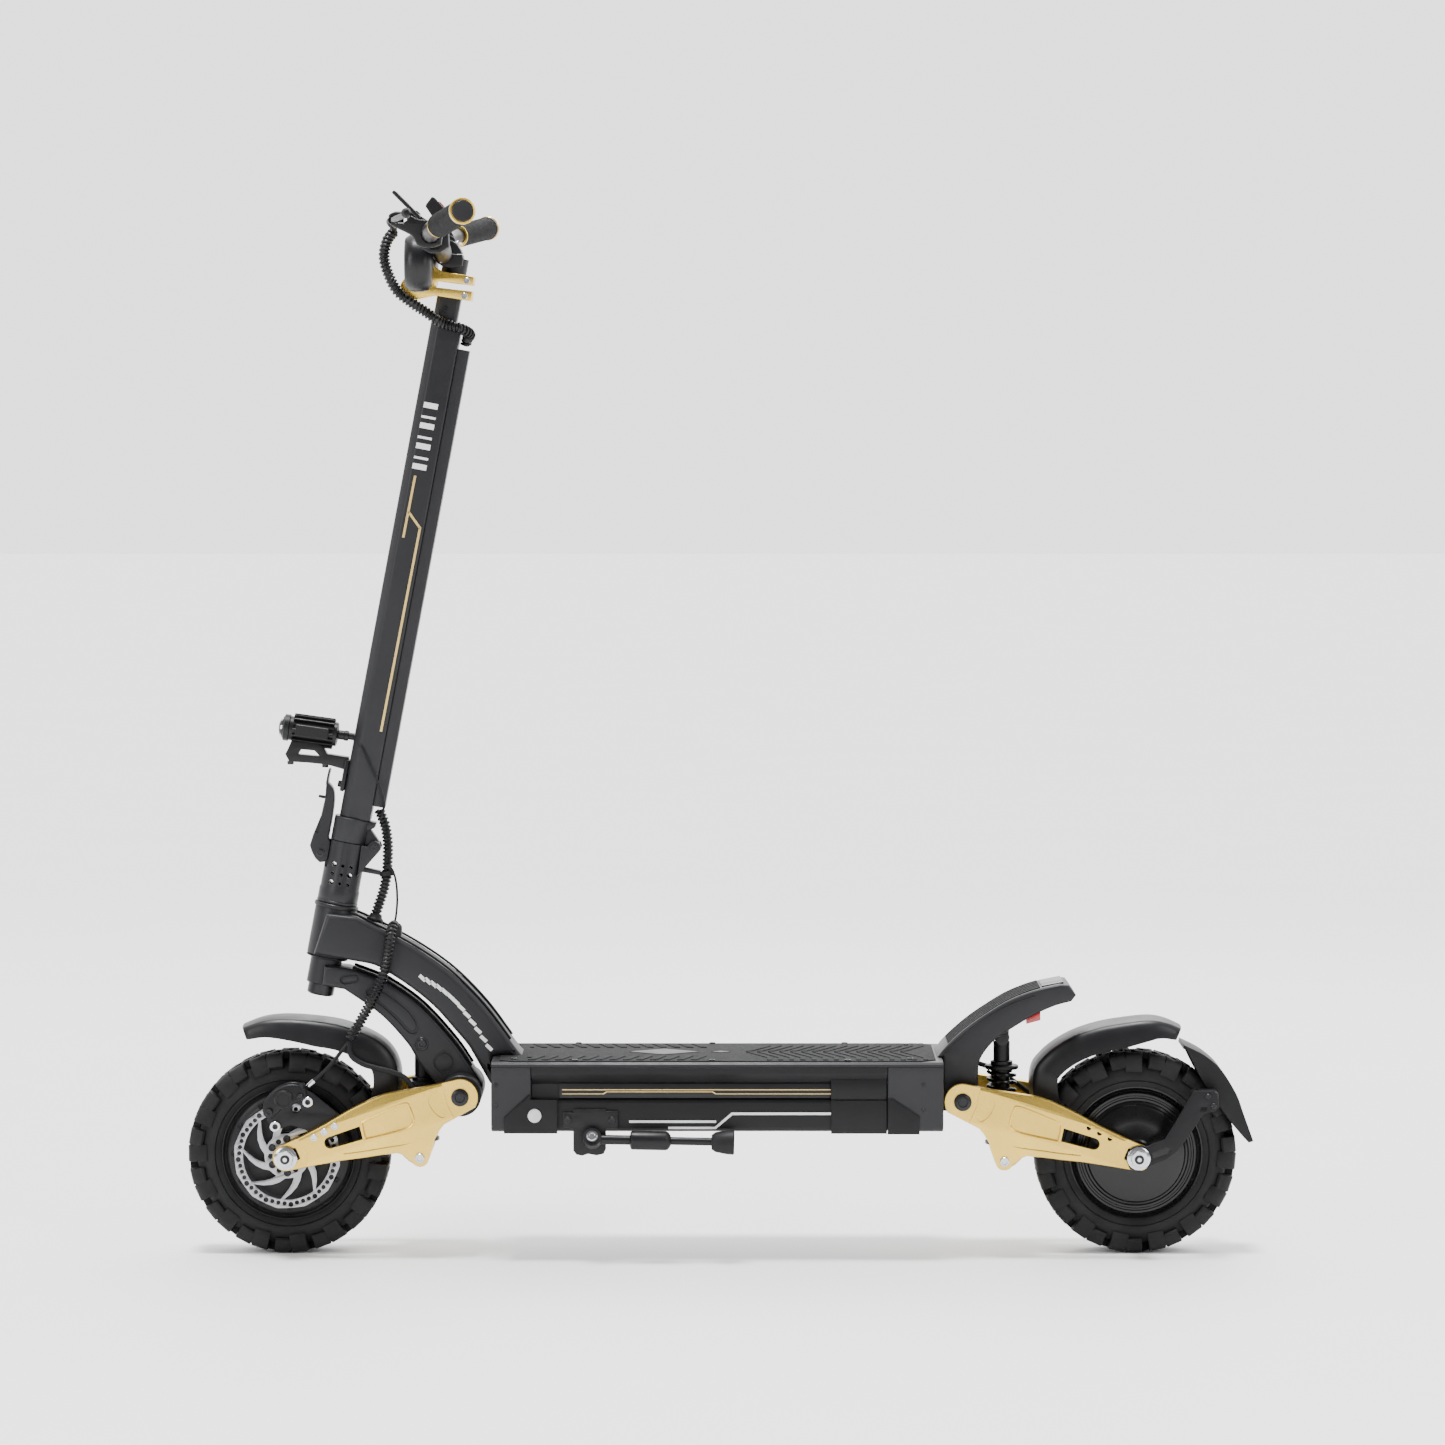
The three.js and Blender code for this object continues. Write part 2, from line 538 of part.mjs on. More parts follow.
// ---- Swingarms, wheels and brakes ------------------------------------------
function swingarmSide(low, high) {
  const shape = new THREE.Shape();
  shape.absarc(0, 0, 23, 1.2 * Math.PI, Math.PI / 2, true);
  curveThrough(shape, [[23, 25], [63, 31.7], [104, 35.5], [172, 24.3], [230, 17]]);
  shape.absarc(ARM_REACH, 0, 17, Math.PI / 2, -Math.PI / 2, true);
  shape.lineTo(200, -21.7);
  shape.lineTo(150, -30.5);
  shape.lineTo(104, -39);
  shape.lineTo(90, -46);
  shape.absarc(...SHOCK_EYE, 11, -0.1 * Math.PI, -0.85 * Math.PI, true);
  shape.lineTo(56, -46);
  shape.lineTo(44, -36);
  const slot = new THREE.Path();
  slot.moveTo(131, 7);
  slot.lineTo(133, -10);
  slot.lineTo(173, -7);
  slot.absarc(173, 0, 7, -Math.PI / 2, Math.PI / 2, false);
  shape.holes.push(slot);
  return slab(shape, low, high, 0, 2);
}

function swingarm(slope) {
  const plate = slab(outline([
    [38, -15], [36, -28], [52, -42], [60, -60], [73, -66.6], [86, -60], [94, -45], [104, -37], [104, -23],
    [96, -14],
  ]), -ARM_INNER - 0.5, ARM_INNER + 0.5);
  const [eyeX, eyeZ] = SHOCK_EYE;
  const springRoom = rod([eyeX - 8.4 * Math.sin(slope), 0, eyeZ + 8.4 * Math.cos(slope)],
    [eyeX - 120 * Math.sin(slope), 0, eyeZ + 120 * Math.cos(slope)], 25, 14);
  const eyeRoom = box([eyeX - 18, -13, eyeZ - 20], [eyeX + 18, 13, eyeZ + 30]);
  const bolt = rod([eyeX, -20, eyeZ], [eyeX, 20, eyeZ], 4.3, 12);
  const sides = [swingarmSide(ARM_INNER, ARM_OUTER), swingarmSide(-ARM_OUTER, -ARM_INNER)];
  const bores = [0, ARM_REACH].map((x) => rod([x, -90, 0], [x, 90, 0], 8.8));
  return cut(join(cut(plate, springRoom, eyeRoom), bolt, ...sides), ...bores);
}

const axleProfile = [
  [0, -97], [7, -97], [7, -93], [13, -92], [13, -84.4], [8, -84.4], [8, 84.4], [13, 84.4], [13, 92],
  [7, 93], [7, 97], [0, 97]];

const hubProfile = [
  [8.8, -HUB_HALF], [62, -HUB_HALF], [78, -30], [RIM_R, -30], [79, -23],
  [79, 23], [RIM_R, 30], [78, 30], [60, 42], [27, 42], [27, ROTOR_INNER - GAP],
  [8.8, ROTOR_INNER - GAP], [8.8, -HUB_HALF]];

const treadR = TYRE_R / Math.cos(Math.PI / TYRE_SIDES);
const tyreProfile = [
  [RIM_R + 0.4, -29.5], [100, -TYRE_HALF], [118, -36.5], [treadR, -30], [treadR, 30], [118, 36.5],
  [100, TYRE_HALF], [RIM_R + 0.4, 29.5], [RIM_R + 0.4, -29.5]];

const rotorProfile = [
  [17, ROTOR_INNER], [ROTOR_R, ROTOR_INNER], [ROTOR_R, ROTOR_OUTER], [17, ROTOR_OUTER], [17, ROTOR_INNER]];

function caliper() {
  const adapter = slab(outline([
    [237, 60], [205, 86], [175, 64], [150, 24], [165, 4], [186, 6], [212, 40]]), 61.5, ARM_INNER - GAP);
  const body = box([188, 45.5, 50], [236, 73, 84]);
  const rotorRoom = rod([ARM_REACH, 54.5, 0], [ARM_REACH, 61, 0], ROTOR_R + 3.5, 32);
  return join(cut(body, rotorRoom), adapter);
}

const slopeOf = ([, , height]) => Math.asin((height - TYRE_R) / ARM_REACH);

for (const [end, pivot, heading] of [['front', FRONT_PIVOT, 0], ['rear', REAR_PIVOT, Math.PI]]) {
  const slope = slopeOf(pivot);
  const turn = new THREE.Group();
  turn.position.set(...pivot);
  turn.rotation.z = heading;
  scooter.add(turn);
  const arm = new THREE.Group();
  arm.rotation.y = slope;
  turn.add(arm);
  const axle = [ARM_REACH, 0, 0];
  const flatDown = Math.PI - slope + Math.PI / TYRE_SIDES;
  part(`${end}_swingarm`, swingarm(slope), gold, arm);
  part(`${end}_axle`, turned(axleProfile, axle, [0, 1, 0], 10), steel, arm);
  part(`${end}_caliper`, caliper(), blackMetal, arm);
  part(`${end}_motor`, turned(hubProfile, axle, [0, 1, 0], 24), blackMetal, arm);
  part(`${end}_rotor`, turned(rotorProfile, axle, [0, 1, 0], 32), steel, arm);
  part(`${end}_tyre`, turned(tyreProfile, axle, [0, 1, 0], TYRE_SIDES, flatDown), rubber, arm);
}

// ---- Shock absorbers -------------------------------------------------------
function shock(end, top, bottom, perch) {
  const from = new THREE.Vector3(...top);
  const run = new THREE.Vector3(...bottom).sub(from);
  const length = run.length();
  const down = run.toArray();
  const up = run.clone().negate().toArray();
  const eye = ([x, , z]) => rod([x, -11, z], [x, 11, z], 9.5);
  const eyeBore = ([x, , z]) => rod([x, -20, z], [x, 20, z], 5.3, 12);
  const body = turned([
    [0, 6], [10.5, 6], [10.5, perch - 1], [21, perch], [21, perch + 5], [10.5, perch + 6], [10.5, 84],
    [6.2, 84], [6.2, 55], [0, 55],
  ], top, down, 14);
  const rodLength = length - 66;
  const lower = turned([
    [0, 6], [8, 6], [8, 12], [21, 13], [21, 17], [5.5, 18], [5.5, rodLength], [0, rodLength],
  ], bottom, up, 14);
  const [low, high] = [perch + 6 + GAP, length - 18 - GAP];
  const spring = turned([[14.2, low], [19.5, low], [19.5, high], [14.2, high], [14.2, low]], top, down, 16);
  part(`${end}_shock_body`, cut(join(body, eye(top)), eyeBore(top)), blackMetal);
  part(`${end}_shock_rod`, cut(join(lower, eye(bottom)), eyeBore(bottom)), steel);
  part(`${end}_shock_spring`, spring, blackMetal);
}

// The lower bolt of a shock, found from its swingarm.
function lowerBolt(pivot, heading) {
  const slope = slopeOf(pivot);
  const [along, above] = SHOCK_EYE;
  const ahead = along * Math.cos(slope) + above * Math.sin(slope);
  return [pivot[0] + heading * ahead, 0, pivot[2] - along * Math.sin(slope) + above * Math.cos(slope)];
}
const frontBolt = lowerBolt(FRONT_PIVOT, 1);
const rearBolt = lowerBolt(REAR_PIVOT, -1);
shock('front', [380.4, 0, FRONT_SHOCK_TOP], frontBolt, 50);
shock('rear', [-354.5, 0, REAR_SHOCK_TOP], rearBolt, 36);

// ---- Fenders and rear flap -------------------------------------------------
// A crowned strip 86 mm wide that follows the crown line; its skirts hang below it.
function fender(crown, steps) {
  const section = new THREE.Shape();
  section.moveTo(-43, 26);
  curveThrough(section, [[-37, 9], [-18, 1], [18, 1], [37, 9], [43, 26]]);
  section.lineTo(40.4, 26);
  curveThrough(section, [[35, 11.5], [17, 4], [-17, 4], [-35, 11.5], [-40.4, 26]]);
  const route = new THREE.CatmullRomCurve3(crown.map(([x, z]) => new THREE.Vector3(x, 0, z)));
  return new THREE.ExtrudeGeometry(section, { steps, extrudePath: route, curveSegments: 1 });
}
const frontCrown = [[413, 180], [408, 215], [409, 245], [421, 264], [440, 279], [470, 292], [500, 299], [545, 303],
  [580, 300], [606, 290]];
const rearCrown = [[-386, 190], [-382, 215], [-386, 238], [-400, 254], [-420, 268], [-445, 282], [-475, 292],
  [-505, 297], [-540, 300], [-562, 296], [-580, 287]];
part('front_fender', fender(frontCrown, 12), blackPlastic);
part('rear_fender', fender(rearCrown.reverse(), 12), blackPlastic);

function rearMudguard() {
  const outer = [[-583, 266], [-613, 250], [-640, 220], [-658, 180], [-671, 144]];
  const top = new THREE.Shape();
  top.moveTo(...outer[0]);
  curveThrough(top, outer.slice(1));
  const skirt = top.clone();
  top.lineTo(-667, 143);
  curveThrough(top, [[-654, 178], [-637, 216], [-611, 245], [-582, 261]]);
  skirt.lineTo(-665, 142);
  curveThrough(skirt, [[-640, 172], [-618, 203], [-600, 230], [-590, 250]]);
  const skirts = [slab(skirt, 40.5, 44, 0, 1), slab(skirt, -44, -40.5, 0, 1)];
  const strut = outline([
    [-509, 121], [-509, 133], [-523, 143], [-556, 152], [-592, 212], [-622, 212], [-624, 190], [-604, 184],
    [-572, 136], [-540, 120], [-523, 112]]);
  const struts = [slab(strut, ARM_OUTER + GAP, 83.6), slab(strut, -83.6, -ARM_OUTER - GAP)];
  const wings = [box([-624, 43, 190], [-598, 83.6, 212]), box([-624, -83.6, 190], [-598, -43, 212])];
  const axle = rod([-523.1, -100, TYRE_R], [-523.1, 100, TYRE_R], 8.6);
  return cut(join(slab(top, -41, 41, 0, 1), ...skirts, ...struts, ...wings), axle);
}
part('rear_mudguard', rearMudguard(), blackPlastic);

// ---- Cable looms and brake lines -------------------------------------------
const LOOM_R = 7;
part('upper_loom', hose([
  [411, 24, 1291], [420, 31, 1279], [424, 36, 1260], [420, 38, 1240], [408, 38, 1216], [390, 36, 1201],
  [372, 32, 1189], [352, 30, 1176], [330, 33, 1169], [318, 19, 1162],
  [321.6, 4, 1155.5], [323.8, 0, 1148],
], LOOM_R, 18), rubber);
part('fold_loom', hose([
  [434.9, 0, 560.4], [431, 0.5, 551], [427, 2, 540], [424, 4, 520], [424, 5, 500], [425, 6, 481],
], LOOM_R, 6), rubber);
part('neck_loom', hose([[425, 6, 479.8], [429, 7, 460], [435, 8, 442], [440, 9, 426.5]], LOOM_R, 5), rubber);
part('fork_loom', hose([
  [414, 22, 414], [416, 33, 416], [419, 44, 404], [423, 46, 378], [429, 46, 352], [441, 46, 326],
  [456, 47, 298], [470, 51, 274],
], LOOM_R, 12), rubber);

function frontLines() {
  const start = [471.5, 51.3, 270.5];
  const brakeHose = hose([start, [480, 55, 260], [492, 60, 245], [507, 62, 230], [521, 60, 217.5]], 2.6, 8);
  const motorCable = hose([
    start, [468, 54, 254], [454, 56, 244], [438, 57, 239], [418, 57, 234], [400, 57, 226], [388, 57, 208]], 3.4, 10);
  return join(brakeHose, motorCable);
}
part('front_lines', frontLines(), rubber);
part('rear_lines', hose([
  [-277.6, -58, 234], [-300, -58, 235], [-330, -58, 230], [-358, -57, 218], [-384, -57, 200], [-404, -57, 184],
], 3.4, 8), rubber);

export default scooter;
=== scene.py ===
# Folding electric kick scooter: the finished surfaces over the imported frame.
# Work is in millimetres, +X forward, +Y the rider's left, +Z up; each piece is scaled to metres when it is placed.
import math

import bmesh
import bpy
from mathutils import Matrix, Vector


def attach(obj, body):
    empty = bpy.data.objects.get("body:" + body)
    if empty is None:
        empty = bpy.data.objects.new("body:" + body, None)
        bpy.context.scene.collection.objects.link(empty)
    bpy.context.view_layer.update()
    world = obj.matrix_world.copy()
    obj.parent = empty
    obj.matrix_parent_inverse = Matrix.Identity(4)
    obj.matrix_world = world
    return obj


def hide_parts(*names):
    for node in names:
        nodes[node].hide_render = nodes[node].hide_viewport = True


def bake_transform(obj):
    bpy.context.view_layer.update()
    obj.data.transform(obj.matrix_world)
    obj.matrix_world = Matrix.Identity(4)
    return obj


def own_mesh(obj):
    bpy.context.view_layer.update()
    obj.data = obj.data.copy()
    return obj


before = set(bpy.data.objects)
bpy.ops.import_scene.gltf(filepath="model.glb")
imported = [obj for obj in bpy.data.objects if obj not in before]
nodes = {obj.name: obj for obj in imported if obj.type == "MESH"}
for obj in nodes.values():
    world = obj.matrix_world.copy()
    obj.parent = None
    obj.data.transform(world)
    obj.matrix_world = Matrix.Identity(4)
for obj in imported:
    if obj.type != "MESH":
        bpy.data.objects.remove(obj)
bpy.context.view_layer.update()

# ---- Camera ---------------------------------------------------------------------------------
camera_data = bpy.data.cameras.new("camera")
camera_data.lens = 138.02
camera_data.sensor_width = 36.0
camera = bpy.data.objects.new("camera", camera_data)
camera.location = (0.0, 7.0, 1.0916)
camera.rotation_euler = (math.radians(90 - 3.4347), 0.0, math.radians(180))
bpy.context.scene.collection.objects.link(camera)
bpy.context.scene.camera = camera

# ---- Frames of the steering and of the two swingarms ----------------------------------------
RAKE = math.radians(10.7)
STEER = Matrix.Translation((489, 0, 442)) @ Matrix.Rotation(-RAKE, 4, "Y")
TYRE_R = 127.5
REACH = 232.1
ARM = {}
for end, pivot, heading in (("front", (330, 0, 204), 0), ("rear", (-302, 0, 198), math.pi)):
    slope = math.asin((pivot[2] - TYRE_R) / REACH)
    ARM[end] = (Matrix.Translation(pivot) @ Matrix.Rotation(heading, 4, "Z")
                @ Matrix.Rotation(slope, 4, "Y"))
AXLE = Matrix.Translation((REACH, 0, 0))
ACROSS = Matrix.Rotation(math.radians(-90), 4, "X")     # turned pieces then run along +Y


def at(x, y, z):
    return Matrix.Translation((x, y, z))


def facing(place, direction):
    """Moves a piece made along +Z to place, pointing along direction."""
    turn = Vector(direction).to_track_quat("Z", "Y").to_matrix().to_4x4()
    return Matrix.Translation(place) @ turn


# ---- Shapes ---------------------------------------------------------------------------------
def smooth_line(points, steps=6, closed=False):
    """Points on a smooth curve through the given ones."""
    given = [Vector(p) for p in points]
    count = len(given)
    spans = count if closed else count - 1
    line = []
    for i in range(spans):
        if closed:
            a, b, c, d = (given[(i + k) % count] for k in (-1, 0, 1, 2))
        else:
            a, b, c, d = (given[min(max(i + k, 0), count - 1)] for k in (-1, 0, 1, 2))
        for j in range(steps):
            t = j / steps
            line.append(0.5 * (2 * b + (c - a) * t + (2 * a - 5 * b + 4 * c - d) * t ** 2
                               + (3 * b - a - 3 * c + d) * t ** 3))
    if not closed:
        line.append(given[-1])
    return line


def arc(x, z, radius, begin, finish, steps=10):
    """Points on part of a circle, in degrees."""
    return [(x + radius * math.cos(math.radians(begin + (finish - begin) * i / steps)),
             z + radius * math.sin(math.radians(begin + (finish - begin) * i / steps)))
            for i in range(steps + 1)]


def ring(x, z, radius, steps=20):
    return arc(x, z, radius, 0, 360, steps)[:-1]


def long_hole(x1, z1, x2, z2, radius, steps=8):
    """A slot with round ends."""
    angle = math.degrees(math.atan2(z2 - z1, x2 - x1))
    return (arc(x2, z2, radius, angle - 90, angle + 90, steps)
            + arc(x1, z1, radius, angle + 90, angle + 270, steps))


def slab(outline, low, high, bevel=0.0, holes=(), rounds=2):
    """A side outline (x, z) pulled across from y = low to y = high, its edges rounded."""
    flat = bpy.data.curves.new("outline", "CURVE")
    flat.dimensions = "2D"
    flat.fill_mode = "BOTH"
    flat.extrude = (high - low) / 2 - bevel
    flat.bevel_depth = bevel
    flat.bevel_resolution = rounds
    flat.offset = -bevel
    for loop in (outline, *holes):
        spline = flat.splines.new("POLY")
        spline.points.add(len(loop) - 1)
        for point, place in zip(spline.points, loop):
            point.co = (place[0], place[1], 0, 1)
        spline.use_cyclic_u = True
    carrier = bpy.data.objects.new("outline", flat)
    mesh = bpy.data.meshes.new_from_object(carrier)
    bm = bmesh.new()
    bm.from_mesh(mesh)
    bpy.data.objects.remove(carrier)
    bpy.data.curves.remove(flat)
    bpy.data.meshes.remove(mesh)
    bmesh.ops.remove_doubles(bm, verts=bm.verts, dist=0.002)
    bm.transform(Matrix.Rotation(math.radians(90), 4, "X"))
    bm.transform(at(0, (low + high) / 2, 0))
    bmesh.ops.recalc_face_normals(bm, faces=bm.faces)
    return bm


def turned(profile, place=None, steps=64):
    """A profile of (radius, height) spun round +Z, then put in place."""
    bm = bmesh.new()
    verts = [bm.verts.new((radius, 0, height)) for radius, height in profile]
    edges = [bm.edges.new(pair) for pair in zip(verts, verts[1:])]
    bmesh.ops.spin(bm, geom=verts + edges, cent=(0, 0, 0), axis=(0, 0, 1), angle=2 * math.pi,
                   steps=steps, use_merge=True)
    bmesh.ops.remove_doubles(bm, verts=bm.verts, dist=0.002)
    bmesh.ops.recalc_face_normals(bm, faces=bm.faces)
    if place is not None:
        bm.transform(place)
    return bm


def block(low, high, bevel=0.0, segments=2, place=None):
    """A rectangular piece between two corners with rounded edges."""
    bm = bmesh.new()
    size = [b - a for a, b in zip(low, high)]
    middle = [(a + b) / 2 for a, b in zip(low, high)]
    bmesh.ops.create_cube(bm, size=1.0)
    bm.transform(Matrix.Translation(middle) @ Matrix.Diagonal((*size, 1)))
    if bevel:
        bmesh.ops.bevel(bm, geom=bm.edges[:], offset=bevel, offset_type="OFFSET", segments=segments,
                        profile=0.5, affect="EDGES", material=-1)
    if place is not None:
        bm.transform(place)
    return bm


def hose(points, radius, sides=3, steps=6, smooth=True):
    """A round tube along a smooth route."""
    route = smooth_line(points, steps) if smooth else [Vector(p) for p in points]
    line = bpy.data.curves.new("route", "CURVE")
    line.dimensions = "3D"
    line.bevel_depth = radius
    line.bevel_resolution = sides
    line.use_fill_caps = True
    spline = line.splines.new("POLY")
    spline.points.add(len(route) - 1)
    for point, place in zip(spline.points, route):
        point.co = (*place, 1)
    carrier = bpy.data.objects.new("route", line)
    mesh = bpy.data.meshes.new_from_object(carrier)
    bm = bmesh.new()
    bm.from_mesh(mesh)
    bpy.data.objects.remove(carrier)
    bpy.data.curves.remove(line)
    bpy.data.meshes.remove(mesh)
    bmesh.ops.remove_doubles(bm, verts=bm.verts, dist=0.002)
    bmesh.ops.recalc_face_normals(bm, faces=bm.faces)
    return bm


def winding(points, reach, pitch, phase=0.0, per_turn=12, steps=12):
    """Points of a helix that winds round a smooth route at the given reach."""
    route = smooth_line(points, steps)
    side = Vector((0, 1, 0))
    helix = []
    angle = phase
    for here, there in zip(route, route[1:]):
        run = there - here
        along = run.normalized()
        side = (side - along * side.dot(along)).normalized()
        other = along.cross(side)
        parts = max(1, round(run.length / pitch * per_turn))
        for k in range(parts):
            place = here + run * (k / parts)
            helix.append(place + reach * (math.cos(angle) * side + math.sin(angle) * other))
            angle += 2 * math.pi * run.length / pitch / parts
    return helix


def gather(*pieces, place=None):
    """One mesh that holds all of these."""
    whole = bmesh.new()
    for bm in pieces:
        mesh = bpy.data.meshes.new("part")
        bm.to_mesh(mesh)
        bm.free()
        whole.from_mesh(mesh)
        bpy.data.meshes.remove(mesh)
    if place is not None:
        whole.transform(place)
    return whole


def repeated(bm, places):
    """Copies of one shape at each place."""
    mesh = bpy.data.meshes.new("part")
    bm.to_mesh(mesh)
    bm.free()
    whole = bmesh.new()
    for place in places:
        mesh.transform(place)
        whole.from_mesh(mesh)
        mesh.transform(place.inverted())
    bpy.data.meshes.remove(mesh)
    return whole


LEFT_RIGHT = (1, -1)
mirror_y = Matrix.Diagonal((1, -1, 1, 1))


def mirrored(bm):
    """The same piece for the other side."""
    bm.transform(mirror_y)
    bmesh.ops.reverse_faces(bm, faces=bm.faces)
    return bm


def carved(bm, *tools):
    """The shape with these tools cut out of it."""
    def carrier(shape):
        mesh = bpy.data.meshes.new("carve")
        shape.to_mesh(mesh)
        shape.free()
        item = bpy.data.objects.new("carve", mesh)
        bpy.context.scene.collection.objects.link(item)
        return item
    body = carrier(bm)
    cutters = [carrier(tool) for tool in tools]
    for cutter in cutters:
        step = body.modifiers.new("cut", "BOOLEAN")
        step.operation = "DIFFERENCE"
        step.solver = "EXACT"
        step.object = cutter
    bpy.context.view_layer.update()
    result = bpy.data.meshes.new_from_object(body.evaluated_get(bpy.context.evaluated_depsgraph_get()))
    whole = bmesh.new()
    whole.from_mesh(result)
    for item in (body, *cutters):
        spare = item.data
        bpy.data.objects.remove(item)
        bpy.data.meshes.remove(spare)
    bpy.data.meshes.remove(result)
    return whole


def place_piece(name, bm, finish, body, replaces=(), bevel=0.0, segments=2, angle=35):
    """Makes the finished object: metres, smooth faces with crisp edges, its finish, and the body it rides on."""
    bm.transform(Matrix.Scale(0.001, 4))
    mesh = bpy.data.meshes.new(name)
    bm.to_mesh(mesh)
    bm.free()
    mesh.materials.append(finish)
    item = bpy.data.objects.new(name, mesh)
    bpy.context.scene.collection.objects.link(item)
    mesh.shade_smooth()
    mesh.set_sharp_from_angle(angle=math.radians(angle))
    if bevel:
        edge = item.modifiers.new("edges", "BEVEL")
        edge.width = bevel * 0.001
        edge.segments = segments
        edge.limit_method = "ANGLE"
        edge.angle_limit = math.radians(30)
        edge.harden_normals = False
    if body:
        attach(item, body)
    if replaces:
        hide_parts(*([replaces] if isinstance(replaces, str) else replaces))
    return item


class Finish:
    """A procedural material: base tone, slow colour drift, fine grain in bump and roughness."""

    def __init__(self, name, slot, tone, metallic, roughness, coat=0.0, specular=0.5):
        self.material = bpy.data.materials.new(name)
        self.material.use_nodes = True
        self.tree = self.material.node_tree
        self.shader = self.tree.nodes["Principled BSDF"]
        self.shader.inputs["Metallic"].default_value = metallic
        self.shader.inputs["Roughness"].default_value = roughness
        self.shader.inputs["Base Color"].default_value = (*tone, 1)
        self.shader.inputs["Specular IOR Level"].default_value = specular
        if coat:
            self.shader.inputs["Coat Weight"].default_value = coat
            self.shader.inputs["Coat Roughness"].default_value = 0.12
        self.tone = tone
        self.roughness = roughness
        self.coordinates = self.tree.nodes.new("ShaderNodeTexCoord").outputs["Object"]

    def node(self, kind, **values):
        node = self.tree.nodes.new(kind)
        for key, value in values.items():
            if hasattr(node, key):
                setattr(node, key, value)
            else:
                node.inputs[key.replace("_", " ").title()].default_value = value
        return node

    def link(self, source, target):
        self.tree.links.new(source, target)
        return target

    def noise(self, scale, detail=4.0, stretch=None, rough=0.55):
        texture = self.node("ShaderNodeTexNoise", Scale=scale, Detail=detail, Roughness=rough)
        if stretch is None:
            self.link(self.coordinates, texture.inputs["Vector"])
        else:
            mapping = self.node("ShaderNodeMapping")
            mapping.inputs["Scale"].default_value = stretch
            self.link(self.coordinates, mapping.inputs["Vector"])
            self.link(mapping.outputs["Vector"], texture.inputs["Vector"])
        return texture.outputs["Fac"]

    def drift(self, scale, amount, tint=(1, 1, 1), stretch=None, low=0.35, high=0.7):
        """Base colour wanders between the tone and a lighter or tinted one."""
        ramp = self.node("ShaderNodeValToRGB")
        darker = [c * (1 - amount) for c in self.tone]
        lighter = [c * (1 + amount) * k for c, k in zip(self.tone, tint)]
        ramp.color_ramp.elements[0].position = low
        ramp.color_ramp.elements[1].position = high
        ramp.color_ramp.elements[0].color = (*darker, 1)
        ramp.color_ramp.elements[1].color = (*lighter, 1)
        self.link(self.noise(scale, stretch=stretch), ramp.inputs["Fac"])
        self.link(ramp.outputs["Color"], self.shader.inputs["Base Color"])
        return self

    def rough_spread(self, scale, spread, stretch=None):
        reach = self.node("ShaderNodeMapRange")
        reach.inputs["From Min"].default_value = 0.3
        reach.inputs["From Max"].default_value = 0.7
        reach.inputs["To Min"].default_value = max(0.02, self.roughness - spread)
        reach.inputs["To Max"].default_value = min(1.0, self.roughness + spread)
        self.link(self.noise(scale, stretch=stretch), reach.inputs["Value"])
        self.link(reach.outputs["Result"], self.shader.inputs["Roughness"])
        return self

    def grain(self, scale, strength, distance=0.0002, stretch=None, detail=3.0):
        bump = self.node("ShaderNodeBump")
        bump.inputs["Strength"].default_value = strength
        bump.inputs["Distance"].default_value = distance
        self.link(self.noise(scale, detail, stretch), bump.inputs["Height"])
        self.link(bump.outputs["Normal"], self.shader.inputs["Normal"])
        return self

    def cells(self, scale, strength, distance=0.0003):
        """Moulded leather-like grain."""
        texture = self.node("ShaderNodeTexVoronoi", Scale=scale)
        self.link(self.coordinates, texture.inputs["Vector"])
        bump = self.node("ShaderNodeBump")
        bump.inputs["Strength"].default_value = strength
        bump.inputs["Distance"].default_value = distance
        self.link(texture.outputs["Distance"], bump.inputs["Height"])
        self.link(bump.outputs["Normal"], self.shader.inputs["Normal"])
        return self


graphite = Finish("graphite_coat", "graphite_metal", (0.020, 0.020, 0.022), 0.25, 0.42, specular=0.25).drift(
    9, 0.07).rough_spread(60, 0.05).grain(1400, 0.12, 0.0001).material
deck_side = Finish("deck_side_coat", "graphite_metal", (0.011, 0.011, 0.012), 0.15, 0.42, specular=0.2).drift(
    9, 0.07).rough_spread(50, 0.05).grain(1500, 0.12, 0.0001).material
black_metal = Finish("black_coat", "black_metal", (0.006, 0.006, 0.007), 0.1, 0.4, specular=0.3).drift(
    14, 0.12).rough_spread(70, 0.06).grain(1500, 0.12, 0.0001).material
black_plastic = Finish("moulded_plastic", "black_plastic", (0.006, 0.006, 0.007), 0.0, 0.5, specular=0.25).drift(
    20, 0.12).rough_spread(120, 0.06).cells(1500, 0.25).material
gloss_plastic = Finish("glossy_plastic", "black_plastic", (0.003, 0.003, 0.0035), 0.0, 0.24, coat=0.1,
                       specular=0.3).drift(
    20, 0.12).rough_spread(40, 0.04).material
gold = Finish("gold_anodising", "gold_anodised", (0.79, 0.54, 0.11), 1.0, 0.31).drift(
    14, 0.08, (1.02, 1.0, 0.95)).rough_spread(700, 0.06).grain(1500, 0.32, 0.00012).material
steel = Finish("brushed_steel", "steel", (0.36, 0.36, 0.375), 1.0, 0.34).drift(
    30, 0.06).rough_spread(700, 0.08, (1, 1, 0.1)).grain(1300, 0.1, 0.00005, (1, 1, 0.1)).material
chrome = Finish("bright_plating", "steel", (0.6, 0.61, 0.63), 1.0, 0.2).drift(
    30, 0.05).rough_spread(120, 0.04).material
dark_steel = Finish("blackened_steel", "black_metal", (0.03, 0.03, 0.032), 0.85, 0.33).drift(
    40, 0.12).rough_spread(150, 0.06).grain(1500, 0.1, 0.00006).material
